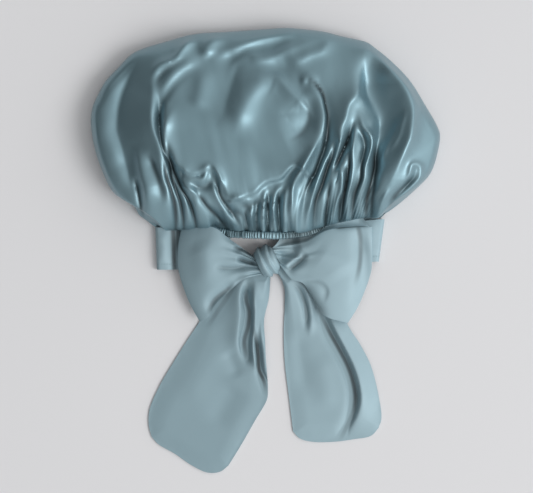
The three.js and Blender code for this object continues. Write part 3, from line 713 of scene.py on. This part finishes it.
def casingRings(halfSide, halfUp, puckers):
    centre, side, up, run = casingFrames(casing["rings"])
    angle = ringAngles(casing["sides"])
    wave, run = Noise(31), run[:, None]
    # one pucker every few millimetres, uneven, deepest along the seam beside the crown
    beat = run / casing["puckerEvery"] + 0.55 * wave(run / 7, 0 * run, 1, 2)
    depth = 0.75 + 0.5 * wave(run / 5, 0 * run + 4, 1, 1)
    sharp = 1 - 2 * np.abs(np.cos(np.pi * beat + 0.35 * np.sin(angle))) ** 0.7
    bulge = puckers * casing["puckerRise"] * depth * sharp
    a = (halfSide + bulge) * oval(np.cos(angle), 0.75)
    b = (halfUp + bulge) * oval(np.sin(angle), 0.9)
    return centre[:, None, :] + side[:, None, :] * a[..., None] + up[:, None, :] * b[..., None]


def outOf(rings):
    return rings[0, 0] - rings[0].mean(0)


def casingSleeve(outer, inner):
    # the casing's outer and inner skins, joined at its two ends
    rings, sides = outer.shape[:2]
    j = np.arange(sides)
    k = (j + 1) % sides
    count, last = rings * sides, (rings - 1) * sides
    ends = [np.column_stack((j, k, k + count, j + count)), np.column_stack((k, j, j + count, k + count)) + last]
    return twoSided("nape_casing", outer, inner, ends, crownSatin, casing["cut"], outOf(outer), True)


def elasticStrip():
    centre, side, up, run = casingFrames(casing["elasticRings"])
    wide, thick = casing["elasticWidth"] / 2, casing["elasticThickness"] / 2
    corners = [(1, -1), (1, 1), (-1, 1), (-1, -1)]
    rings = np.stack([centre + side * a * wide + up * b * thick for a, b in corners], axis=1)
    last = (len(rings) - 1) * 4
    faces = np.vstack((gridFaces(len(rings), 4, 0, True), (0, 1, 2, 3), (last + 3, last + 2, last + 1, last)))
    faces = turnedOut(faces, rings, outOf(rings))
    return makeMesh("nape_elastic", rings, faces, wovenElastic, None, 30)


casingSkin = casingRings(casing["height"] / 2, casing["thickness"] / 2, 1)
insideHalf = [casing[size] / 2 - casing["wall"] - casing["insideGap"][size] for size in ("height", "thickness")]
napeCasing = casingSleeve(casingSkin, casingRings(*insideHalf, 0))
napeElastic = elasticStrip()
# painted shade on the casing: a little all along, deeper towards its right end, which lies in the shadow of the right
# wing's upper edge
wingShadowShare = np.clip(casingSkin[..., 0] - casing["shadeFrom"], 0, casing["shadeOver"]) / casing["shadeOver"]
setPaintedShade(napeCasing, lerp(casing["shade"], casing["rightShade"], wingShadowShare))
print("nape casing made")

# The knot of the bow, which the wings and the tails run into
knot = {
    "centre": (1, -10), "turnDegrees": -65, "length": 33, "width": 21,
    "top": 30, "base": 8, "wall": 6, "clearance": 0.4,
}
knotTurn = math.radians(knot["turnDegrees"])
alongTurn = np.array((math.cos(knotTurn), math.sin(knotTurn), 0))
acrossTurn = np.array((-math.sin(knotTurn), math.cos(knotTurn), 0))
knotCentre = np.array((*knot["centre"], 0.0))
upward = np.array((0, 0, 1.0))


def knotEntry(side, along):
    into = side * (knot["width"] / 2 + knot["clearance"])
    return knotCentre + acrossTurn * into + alongTurn * along * (knot["length"] / 2 - knot["wall"])


def patch(start, end, bottom, top, u, v):
    # a surface between four edges, each of them a function that gives its points
    b, t, s, e = bottom(u)[:, None, :], top(u)[:, None, :], start(v)[None, :, :], end(v)[None, :, :]
    u, v = u[:, None, None], v[None, :, None]
    ruled = b * (1 - v) + t * v
    crossed = s * (1 - u) + e * u
    flat = (b[0, 0] * (1 - u) + b[-1, 0] * u) * (1 - v) + (t[0, 0] * (1 - u) + t[-1, 0] * u) * v
    return ruled + crossed - flat


# The two wings of the bow run from the sides of the mouth into the knot
# the left wing and tail take the darker copy of the tie satin, a painted shade
tieCloths = {"left": leftTieShadedSatin, "right": tieSatin}
wings = {
    "loft": 16, "bulge": 6, "pleatRise": 0.9, "softness": 0.4, "softRun": 30, "edgeRoll": 1.6, "outerRoll": 3.0,
    "columns": 150, "rows": 176, "plies": 1.4, "cut": (0.11, 0.1),
    # above its upper edge the cloth rolls down and is tucked under the crown
    "tuckRows": 16, "tuckDip": 7, "tuckOver": 1, "tuckRise": 3.2,
    "left": {
        "side": -1, "corner": (-0.489, 0.05), "pleats": 4.5, "lift": 8.8,
        # how far the tuck reaches, where along the edge it shows, and the painted shade on it
        "tuckReach": 14, "tuckShares": (0.4, 0.6), "tuckShade": 0.1,
        "outer": [(0, 0), (-0.017, -0.2), (-0.017, -0.4), (0.04, -0.74), (0.109, -0.98)],
        "lower": [(0.109, -0.98), (0.155, -0.93), (0.2, -0.79), (0.275, -0.66), (0.36, -0.53)],
        "upper": [(0, 0), (0.1, 0.03), (0.17, 0.03), (0.215, 0.0), (0.26, -0.07), (0.33, -0.165)],
    },
    "right": {
        "side": 1, "corner": (0.609, 0.064), "pleats": 3.5, "lift": 0,
        "tuckReach": 22, "tuckShares": (0.88, 1), "tuckShade": 0.75,
        "outer": [(0, 0), (0, -0.36), (-0.005, -0.48), (-0.074, -0.825), (-0.138, -1.022)],
        "lower": [(-0.138, -1.022), (-0.27, -0.945), (-0.335, -0.77), (-0.4, -0.6), (-0.465, -0.555)],
        "upper": [(0, 0), (-0.103, -0.005), (-0.26, -0.04), (-0.385, -0.165)],
    },
}
# Folds of the wings, as for the crown; some carry a painted shade from 0 to 1, and the last two on the right are
# bands of painted shade more than folds
wingFoldsPx = {
    "left": [
        (-2.4, 3, 3, 1.4, [213,267, 225,268, 238,268, 250,265]),
        (2.2, 3, 4, 1.5, [239,247, 247,253, 256,259]),
        (-5, 2.5, 2.5, 1.4, [236,258, 246,262, 258,265]),
        (-5, 2.5, 2.5, 1.4, [232,246, 244,251, 258,258]),
        (3.5, 6, 4, 1.5, [258,269, 244,277, 229,291, 219,307, 205,324]),
        (-4.5, 4, 5, 1.5, [236,284, 226,291, 214,301, 207,316]),
        (-3.5, 5, 6, 1.6, [250,274, 240,284, 227,298, 221,316, 215,328]),
        (2.5, 5, 4, 1.5, [254,273, 246,284, 236,301, 226,320, 219,332]),
        (2.5, 12, 12, 1.8, [196,240, 205,262, 203,290]),
    ],
    "right": [
        (-7, 7, 7, 1.6, [274,257, 287,253, 302,246]),
        (-4, 8, 7, 1.7, [352,228, 362,246, 366,266, 362,290, 350,312]),
        (3.5, 3, 4, 1.4, [282,268, 292,261, 304,252]),
        (-5, 4, 3, 1.5, [286,272, 297,264, 308,253]),
        (-1.3, 1.6, 5, 1.5, [300,281, 318,282, 326,290, 322,306]),
        (-3.5, 3.5, 4, 1.5, [299,281, 308,291, 316,304, 328,322]),
        (2.2, 2, 2, 1.4, [296,283, 304,294, 312,307, 326,323]),
        (1.6, 14, 14, 1.8, [315,250, 330,262, 342,280]),
        (-1.2, 1.3, 1.6, 1.3, [332,229, 347,227, 376,225.5], 1),
        (-1.4, 7, 7, 1.8, [354,212, 360,236, 360,262, 354,290], 0.6),
    ],
}


def wingGrid(name):
    wing = wings[name]
    corner = onPlan([wing["corner"]])[0]
    entryTop, entryLow = knotEntry(wing["side"], -1), knotEntry(wing["side"], 1)
    scale = np.array((halfWidth, bonnet["tieWidth"], 0))
    outer, lower, upper = [[corner + (*row, 0) * scale for row in wing[edge]] for edge in ("outer", "lower", "upper")]
    edges = (outer[::-1], [entryLow, entryTop], [*lower, entryLow], [*upper, entryTop])
    tuckRows, flatRows = wings["tuckRows"], wings["rows"] - wings["tuckRows"]
    u = np.linspace(0, 1, wings["columns"])
    v = np.concatenate((np.linspace(0, 1, flatRows), np.ones(tuckRows)))
    tuck = np.concatenate((np.zeros(flatRows), np.linspace(0, 1, tuckRows + 1)[1:]))[None, :]
    grid = patch(*[Path(edge).by for edge in edges], u, v)
    u, v = u[:, None], v[None, :]
    sway = Noise(41 + wing["side"])
    puff = wings["bulge"] * np.sin(np.pi * u) * (0.4 + 0.6 * np.sin(np.pi * v))
    lift = wing["lift"] * v ** 2 * np.sin(np.pi * np.minimum(u / 0.87, 1))
    beat = np.cos(2 * np.pi * (wing["pleats"] * v + 0.15 * sway(v * 6, u * 3, 1, 1)))
    pleat = wings["pleatRise"] * smooth(u, 0.45, 1) * beat
    x, y = grid[..., 0], grid[..., 1]
    folds, crease = foldField(x, y, wingFoldsPx[name], 3)
    soft = wings["softness"] * sway(x, y, wings["softRun"], 2)
    roll = wings["edgeRoll"] * (np.exp(-v * 14) + np.exp(-(1 - v) * 14)) + wings["outerRoll"] * np.exp(-u * 16)
    grid[..., 2] = wings["loft"] + puff + lift + pleat + folds + soft - roll
    # the tuck
    shown = smooth(u, 0.02, 0.2) * (1 - smooth(u, *wing["tuckShares"]))
    line = napeEdge.points
    toEdge = np.clip(np.interp(x, line[:, 0], line[:, 1]) - y + wings["tuckOver"], 0, wing["tuckReach"])
    over = np.minimum(np.interp(x, line[:, 0], line[:, 2]) + wings["tuckRise"], grid[..., 2] + 2)
    grid[..., 1] += toEdge * shown * lerp(tuck, tuck ** 2, 0.5)
    dip = 0.45 * np.sin(np.pi * tuck) * np.minimum(toEdge, wings["tuckDip"])
    grid[..., 2] += ((over - grid[..., 2]) * smooth(tuck, 0, 1) - dip) * shown
    # painted shade on the tucked strip, which lies in the shadow of the crown and the wing's edge
    shade = wing["tuckShade"] * shown * smooth(u, 0.35, 0.75) * smooth(tuck, 0.02, 0.25)
    return grid, np.maximum(crease * (1 - smooth(tuck, 0, 0.15)), shade)


def wingPiece(name):
    grid, crease = wingGrid(name)
    return clothShell(name + "_wing", grid, wings["plies"], tieCloths[name], wings["cut"], -upward, crease)


leftWing, rightWing = wingPiece("left"), wingPiece("right")
print("wings made")

# The knot itself: a pleated strap that arches over a core
strap = {
    "rings": 90, "across": 60, "pleats": 1.35, "pleatShare": 0.2, "drift": 0.35, "insideShare": 0.9,
    "cut": (0.07, 0.05),
}
core = {"rings": 40, "sides": 48, "radiusShare": 0.72, "crease": 0.08}


def knotStrap():
    share = np.linspace(0, 1, strap["rings"])[:, None]
    angle = np.pi * (1 - share)
    across = np.linspace(-1, 1, strap["across"])[None, :]
    # pleats drift sideways as they pass over, one lying over the next
    uneven = 0.1 * Noise(51)(share * 4, across * 3, 1, 2)
    fold = -(strap["pleats"] * across + strap["drift"] * np.sin(np.pi * share) + uneven) % 1.0
    ridge = smooth(fold, 0, 0.26) * (1 - smooth(fold, 0.3, 1))
    body = 1 - np.abs(across) ** 5

    def arch(out, widthShare):
        reach = knot["length"] / 2 - (1 - out) * knot["wall"]
        rise = knot["top"] - knot["base"] - (1 - out) * knot["wall"]
        point = knotCentre + upward * knot["base"] + alongTurn * (reach * np.cos(angle))[..., None]
        point = point + upward * (rise * np.sin(angle))[..., None]
        return point + acrossTurn * (widthShare * across * knot["width"] / 2)[..., None]

    outer = arch(body * (1 + strap["pleatShare"] * (2 * ridge - 1.2)), 1)
    rows = np.concatenate((outer, arch(0 * body, strap["insideShare"])[:, ::-1]), axis=1)
    rings, sides = rows.shape[:2]
    a = np.arange(strap["across"] - 1)
    cap = np.column_stack((a, a + 1, sides - 2 - a, sides - 1 - a))
    faces = np.vstack((gridFaces(rings, sides, 0, True), cap, cap[:, ::-1] + (rings - 1) * sides))
    faces = turnedOut(faces, rows[rings // 2:, strap["across"] // 2:], upward)
    return makeMesh("knot_strap", rows, faces, tieSatin, clothUv(rings, sides, strap["cut"]), 75)


def knotInside():
    rings, sides, clearance = core["rings"], core["sides"], knot["clearance"]
    radius = core["radiusShare"] * (knot["length"] / 2 - knot["wall"] - clearance)
    rise = (knot["top"] - knot["wall"] - clearance - knot["base"]) / 2
    halfLong = knot["width"] / 2 - clearance
    across = np.linspace(1, -1, rings)[:, None]
    swell = np.sqrt(1 - 0.5 * across ** 2)
    angle = ringAngles(sides)
    crease = 1 - core["crease"] * np.abs(np.sin(2.5 * angle + across))
    centre = knotCentre + upward * (knot["base"] + rise)
    points = centre + acrossTurn * (across * halfLong + 0 * angle)[..., None]
    points = points + alongTurn * (radius * swell * crease * np.cos(angle))[..., None]
    points = points + upward * (rise * swell * crease * np.sin(angle))[..., None]
    tips = [centre + acrossTurn * s * halfLong for s in (1, -1)]
    j = np.arange(sides)
    k = (j + 1) % sides
    tip, last = rings * sides, (rings - 1) * sides
    quads = gridFaces(rings, sides, 0, True)
    ends = [np.column_stack((0 * j + tip, j, k)), np.column_stack((0 * j + tip + 1, k + last, j + last))]
    faces = turnedOut(np.vstack((quads[:, :3], quads[:, [0, 2, 3]], *ends)), points, outOf(points))
    points = np.vstack((points.reshape(-1, 3), tips))
    return makeMesh("knot_core_cloth", points, faces, tieSatin, points[:, :2] * mm, 75)


knotWrapPiece, knotCorePiece = knotStrap(), knotInside()
print("knot made")

# The tails: two plies sewn together, from the knot down to their round ends
tails = {
    "plies": 1.3, "neckHeight": 7.6, "neckRun": (4, 62), "lie": 1.35, "swell": 1.6, "swellRun": 20, "cap": 6,
    "softness": (0.25, 46), "pucker": (0.2, 7), "columns": 130, "rows": 220, "rootArcDegrees": 80,
    "left": {
        "root": (-0.09, -0.2), "length": 220, "drop": 78,
        "neckLeft": [(-0.34, 0.13), (-0.56, 0.38), (-0.66, 0.68)],
        "neckRight": [(0.05, 0.423), (0.0, 0.72)],
        "foldLine": (-0.82, 0.01),
        "left": [(-0.98, 0.18), (-1.12, 0.35), (-1.22, 0.52), (-1.23, 0.63), (-1.2, 0.72)],
        "tip": [(-1.13, 0.777), (-0.95, 0.851), (-0.77, 0.938), (-0.6, 0.992), (-0.47, 0.985)],
        "right": [(-0.38, 0.938), (-0.25, 0.79), (-0.1, 0.605), (0.03, 0.442), (0.04, 0.365), (0.02, 0.148)],
        "cut": (0.1, 0.22),
    },
    "right": {
        "root": (0.45, -0.29), "length": 183, "drop": 65,
        "neckLeft": [(0.03, 0.253), (0.04, 0.62)],
        "neckRight": [(0.28, 0.14), (0.5, 0.42), (0.64, 0.7)],
        "foldLine": (0.03, 0.75),
        "left": [(0.04, 0.27), (0.09, 0.63), (0.13, 0.907)],
        "tip": [(0.2, 0.969), (0.33, 1.0), (0.57, 1.0), (0.78, 0.977), (0.96, 0.946)],
        "right": [(1.04, 0.876), (1.07, 0.79), (1.05, 0.63), (0.96, 0.318), (0.84, 0.116)],
        "cut": (0.1, 0.185),
    },
}
# Folds of the tails, as for the crown; some carry a painted shade from 0 to 1
tailFoldsPx = {
    "left": [
        (-9, 3.5, 3, 1.6, [251,276, 247,288, 246,300, 249,312, 248,326, 244,342, 246,356, 249,368], 0.72),
        (8, 5, 3, 1.5, [258,270, 255,290, 254,320, 254,335, 254,352, 257,368, 263,384]),
        (4, 3, 9, 1.5, [246,272, 240,290, 239,315, 237,340, 240,362]),
        (-1.4, 8, 8, 1.8, [238,278, 228,296, 217,312, 204,332], 0.35),
        (-7, 3, 3, 1.5, [252,322, 256,340, 258,356, 259,370, 264,382, 267,398]),
        (5, 5, 3, 1.5, [262,296, 262,330, 264,352, 266,372, 270,392]),
        (-1.6, 7, 7, 1.6, [226,350, 233,364, 238,380]),
        (1.2, 14, 14, 1.8, [226,330, 212,356, 196,384, 186,410]),
        (-1.4, 12, 12, 1.8, [238,384, 226,404, 212,432]),
    ],
    "right": [
        (-3.5, 3, 3, 1.6, [288,282, 297,287, 304,300, 307,316, 306,334]),
        (2.8, 4, 2.5, 1.5, [296,280, 304,288, 309,302, 311,322, 310,340]),
        (-6, 2.4, 5.5, 1.8, [309,296, 322,316, 331,334, 341,352, 349,368, 354,384, 356,400, 353,416, 347,430]),
        (-2.6, 3, 6, 1.6, [358,384, 355,408, 348,426, 338,446], 0.35),
        (8.5, 12, 3, 1.5, [314,292, 328,312, 337,331, 347,350, 355,367, 360,384, 361,402, 356,420, 348,436]),
        (-1.6, 9, 9, 1.7, [296,330, 300,360, 306,400]),
        (1.6, 12, 12, 1.8, [318,352, 326,384, 326,414]),
    ],
}


def tailGrid(name):
    tail = tails[name]
    roots = {side: knotCentre + np.array((*tails[side]["root"], 0)) * knot["length"] for side in ("left", "right")}
    root = roots[name]
    radius = np.linalg.norm(roots["left"] - roots["right"]) / 2 - 1

    def placed(rows, start, length):
        return [root + (a * bonnet["tieWidth"], -start - b * length, 0) for a, b in rows]

    def upper(rows):
        return placed(rows, 0, tail["drop"])

    def lower(rows):
        return placed(rows, tail["drop"], tail["length"] - tail["drop"])

    ends = upper([(a, 1) for a in tail["foldLine"]])
    away = 2 * root - ends[0] - ends[1]
    turns = math.atan2(away[1], away[0]) + math.radians(tails["rootArcDegrees"]) * (0.5 - np.linspace(0, 1, 7))
    arc = [root + radius * np.array((math.cos(a), math.sin(a), 0)) for a in turns]
    leftEdge = [arc[0], *upper(tail["neckLeft"]), ends[0], *lower(tail["left"])]
    rightEdge = [arc[-1], *upper(tail["neckRight"]), ends[1], *lower(tail["right"][::-1])]
    tip = [leftEdge[-1], *lower(tail["tip"]), rightEdge[-1]]
    u = np.linspace(0, 1, tails["columns"])
    v = np.linspace(0, 1, tails["rows"])
    grid = patch(*[Path(edge).at for edge in (leftEdge, rightEdge, arc, tip)], u, v)
    u, v = u[:, None], v[None, :]
    x, y = grid[..., 0], grid[..., 1]
    fromRoot = np.linalg.norm(grid[..., :2] - root[:2], axis=-1)
    hump = (tails["neckHeight"] - tails["lie"]) * (1 - smooth(fromRoot, *tails["neckRun"]))
    hump = hump * (1 - 0.7 * np.abs(2 * u - 1) ** 6)
    free = smooth(fromRoot, 6, 40)
    inset = np.minimum(np.minimum(u, 1 - u) * 90, (1 - v) * tail["length"])
    wave = Noise(61)
    folds, crease = foldField(x, y, tailFoldsPx[name], 4)
    (softness, softRun), (pucker, puckerRun) = tails["softness"], tails["pucker"]
    soft = softness * (wave(x, y, softRun, 2) + 0.2) * smooth(inset, 0, 14)
    puckers = pucker * wave(x, y, puckerRun, 2) * np.exp(-inset / 5)
    lie = tails["lie"] + tails["swell"] * smooth(inset, 0, tails["swellRun"])
    top = lie + hump + folds * free + soft + puckers
    grid[..., 2] = np.clip(top, tails["lie"] * 0.98, tails["neckHeight"] + tails["cap"] * free)
    return grid, crease * free


def tailPiece(name):
    grid, crease = tailGrid(name)
    thick = np.minimum(tails["plies"], grid[..., 2] - 0.02)
    return clothShell(name + "_tail", grid, thick, tieCloths[name], tails[name]["cut"], -upward, crease)


leftTail, rightTail = tailPiece("left"), tailPiece("right")
print("tails made")

# Stitched bars hold casing, band and tie together at the sides of the mouth
tack = {"strands": 6, "sides": 8, "rows": 15, "overlap": 1.05, "archShare": 0.75, "sinkShare": 0.6}


def sideTack(name, node):
    low, high = [np.array(c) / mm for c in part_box(node)]
    centre, half = (low + high) / 2, (high - low) / 2
    strands, sides, rows = tack["strands"], tack["sides"], tack["rows"]
    radius = half[1] / strands * tack["overlap"]
    share = np.linspace(0, 1, rows)[:, None]
    angle = ringAngles(sides)
    arch = half[2] * tack["archShare"] * np.sin(np.pi * share) ** 0.5
    x = low[0] + (high[0] - low[0]) * share + 0 * angle
    z = centre[2] - half[2] * tack["sinkShare"] + arch + radius * np.sin(angle)
    points, faces = [], []
    for n in range(strands):
        y = centre[1] + half[1] * (2 * (n + 0.5) / strands - 1) + radius * np.cos(angle) + 0 * share
        points.append(np.stack((x, y, z), axis=-1))
        first = n * rows * sides + np.arange(sides)
        faces.append(gridFaces(rows, sides, first[0], True)[:, ::-1])
        for end in (first, (first + (rows - 1) * sides)[::-1]):
            faces.append([(end[0], *end[i:i + 3]) for i in range(1, sides - 2, 2)])
    return makeMesh(name, points, np.vstack(faces), sewingThread, None, 50)


leftTack = sideTack("left_tack", "left_side_tack")
rightTack = sideTack("right_tack", "right_side_tack")

# Stitches lie along lines of points, laid by one tree for every seam; in millimetres, but for the unevenness
stitch = {"Pitch": 2.8, "Length": 2.1, "Width": 0.5, "Thickness": 0.35, "Unevenness": 0.12}
seams = {"casingDegrees": (58, 122), "hemStitch": 5.8, "clearance": 0.12}


def makeStitchTree():
    tree = bpy.data.node_groups.new("stitch_row", "GeometryNodeTree")
    g = Graph(tree)
    tree.interface.new_socket("Line", in_out="INPUT", socket_type="NodeSocketGeometry")
    tree.interface.new_socket("Stitches", in_out="OUTPUT", socket_type="NodeSocketGeometry")
    for name in stitch:
        tree.interface.new_socket(name, in_out="INPUT", socket_type="NodeSocketFloat")
    group = g.node("NodeGroupInput")
    line, pitch, length, width, thickness, unevenness = [g.read(group, name) for name in ("Line", *stitch)]
    curve = g.node("GeometryNodeMeshToCurve", Mesh=line)
    places = g.node("GeometryNodeResampleCurve", {"mode": "LENGTH"}, Curve=curve, Length=pitch)
    turned = g.node("FunctionNodeAlignRotationToVector", {"axis": "X"}, Vector=g.node("GeometryNodeInputTangent"))
    size = g.node("ShaderNodeCombineXYZ", X=length, Y=width, Z=thickness)
    chance = g.node("FunctionNodeRandomValue", {"data_type": "FLOAT"}, Seed=7)
    uneven = (g.read(chance, 1) * 2 - 1) * unevenness + 1
    scaled = g.node("ShaderNodeVectorMath", {"operation": "SCALE"}, _0=size, Scale=uneven)
    bead = g.node("GeometryNodeMeshUVSphere", Segments=6, Rings=4, Radius=0.5)
    laid = g.node("GeometryNodeInstanceOnPoints", Points=places, Instance=bead, Rotation=turned, Scale=scaled)
    real = g.node("GeometryNodeRealizeInstances", Geometry=laid)
    g.node("NodeGroupOutput", Stitches=g.node("GeometryNodeSetMaterial", Geometry=real, Material=sewingThread))
    return tree


stitchTree = makeStitchTree()


def stitchLines(name, lines):
    # lines are runs of points in millimetres
    edges, start = [], 0
    for line in lines:
        edges += [(start + i, start + i + 1) for i in range(len(line) - 1)]
        start += len(line)
    mesh = bpy.data.meshes.new(name)
    mesh.from_pydata((np.vstack(lines) * mm).tolist(), edges, [])
    holder = addObject(name + "_line", mesh)
    modifier = holder.modifiers.new("stitches", "NODES")
    modifier.node_group = stitchTree
    for item in stitchTree.interface.items_tree:
        if item.in_out == "INPUT" and item.name in stitch:
            modifier[item.identifier] = stitch[item.name] * (1 if item.name == "Unevenness" else mm)
    ready = holder.evaluated_get(bpy.context.evaluated_depsgraph_get())
    made = addObject(name, bpy.data.meshes.new_from_object(ready))
    holder.modifiers.clear()
    bpy.data.objects.remove(holder)
    return made


def casingSeams():
    up = casingFrames(casing["rings"])[2]
    places = [round(casing["sides"] * degrees / 360) for degrees in seams["casingDegrees"]]
    return [casingSkin[2:-2, place] + up[2:-2] * seams["clearance"] for place in places]


def hemSeams():
    row = (1 - seams["hemStitch"] / band["width"]) * (band["rows"] - 1)
    low = int(row)
    line = lerp(bandGrid[:, low], bandGrid[:, low + 1], row - low)
    high = line[:, 2] > 0.75 * band["loft"]
    line = line + upward * seams["clearance"]
    half = len(line) // 2
    return [line[:half][high[:half]], line[half:][high[half:]]]


casingStitches = stitchLines("casing_stitches", casingSeams())
hemStitches = stitchLines("hem_stitches", hemSeams())
print("stitches made")

# What each piece moves with, what it stands for and its finish
for piece, nodes, slot in (
    (crown, ["crown_outer"], "crown_satin"),
    (crownLining, ["crown_lining"], "lining_satin"),
    (napeCasing, ["casing_left", "casing_middle", "casing_right"], "crown_satin"),
    (napeElastic, ["elastic_left", "elastic_middle", "elastic_right"], "elastic"),
):
    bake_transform(piece)
    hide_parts(*nodes)
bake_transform(casingStitches)
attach(hemStitches, "root")
for piece, nodes, slot in (
    (frontBand, ["front_band_outer"], "tie_satin"),
    (bandFacing, ["front_band_facing"], "tie_satin"),
    (leftTack, ["left_side_tack"], "thread"),
    (rightTack, ["right_side_tack"], "thread"),
    (leftWing, ["left_wing_front", "left_wing_back"], "tie_satin"),
    (knotWrapPiece, ["knot_wrap"], "tie_satin"),
    (knotCorePiece, ["knot_core"], "tie_satin"),
):
    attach(piece, "root")
    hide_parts(*nodes)
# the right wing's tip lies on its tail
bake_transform(rightWing)
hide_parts("right_wing_front", "right_wing_back")
for piece, name, line in ((leftTail, "left_tail", -0.0948), (rightTail, "right_tail", -0.08477)):
    name + "_end"
    line + 0.011
    line - 0.011
    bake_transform(piece)
    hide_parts(*[f"{name}_{part}_{side}" for part in ("upper", "lower") for side in ("front", "back")])


# Floor, lamp, room and camera
stage = {
    "floorHalf": 6, "floorDrop": 0.0004, "floorTone": (218, 218, 220), "floorRough": 0.8,
    "lampPlace": (3.2, -1.36, 3.73), "lampSize": 2.72, "lampStrength": 112.6,
    "roomLevel": 0.66, "roomSlant": 0.98, "window": (0.97, -0.24, 0),
    "lens": 150, "sensor": 36, "eyeRise": 0.012,
}


def makeFloor():
    half = stage["floorHalf"]
    corners = [(a * half, b * half, -stage["floorDrop"]) for a, b in ((-1, -1), (1, -1), (1, 1), (-1, 1))]
    mesh = bpy.data.meshes.new("table")
    mesh.from_pydata(corners, [], [(0, 1, 2, 3)])
    material, g = newMaterial("table_top")
    g.shader(Base_Color=srgb(*stage["floorTone"]), Roughness=stage["floorRough"])
    mesh.materials.append(material)
    addObject("table", mesh)


def makeLamp():
    lamp = bpy.data.lights.new("key", "AREA")
    lamp.shape = "DISK"
    lamp.size = stage["lampSize"]
    lamp.energy = stage["lampStrength"]
    holder = addObject("key", lamp)
    holder.location = stage["lampPlace"]
    holder.rotation_euler = (-mathutils.Vector(stage["lampPlace"])).to_track_quat("-Z", "Y").to_euler()


def makeStudio():
    # a large soft room, lighter on the side of the window
    world = bpy.data.worlds.new("studio")
    world.use_nodes = True
    g = Graph(world.node_tree)
    way = g.read(g.node("ShaderNodeTexCoord"), "Generated")
    lean = g.node("ShaderNodeVectorMath", {"operation": "DOT_PRODUCT"}, _0=way, _1=stage["window"])
    level = (g.read(lean, "Value") * stage["roomSlant"] + 1) * stage["roomLevel"]
    g.node("ShaderNodeOutputWorld", Surface=g.node("ShaderNodeBackground", Color=(1, 1, 1, 1), Strength=level))
    bpy.context.scene.world = world


def makeCamera():
    # straight above the middle of the photograph
    view = bpy.data.cameras.new("camera")
    view.lens = stage["lens"]
    view.sensor_width = stage["sensor"]
    width, height = photo["sizePx"]
    x, y = fromPhoto((width / 2, height / 2))[0] * mm
    eye = addObject("camera", view)
    eye.location = (x, y, width * photo["mmPerPixel"] * mm * view.lens / view.sensor_width + stage["eyeRise"])
    bpy.context.scene.camera = eye


makeFloor()
makeLamp()
makeStudio()
makeCamera()
bpy.context.scene.view_settings.view_transform = "Standard"
print("stage made")
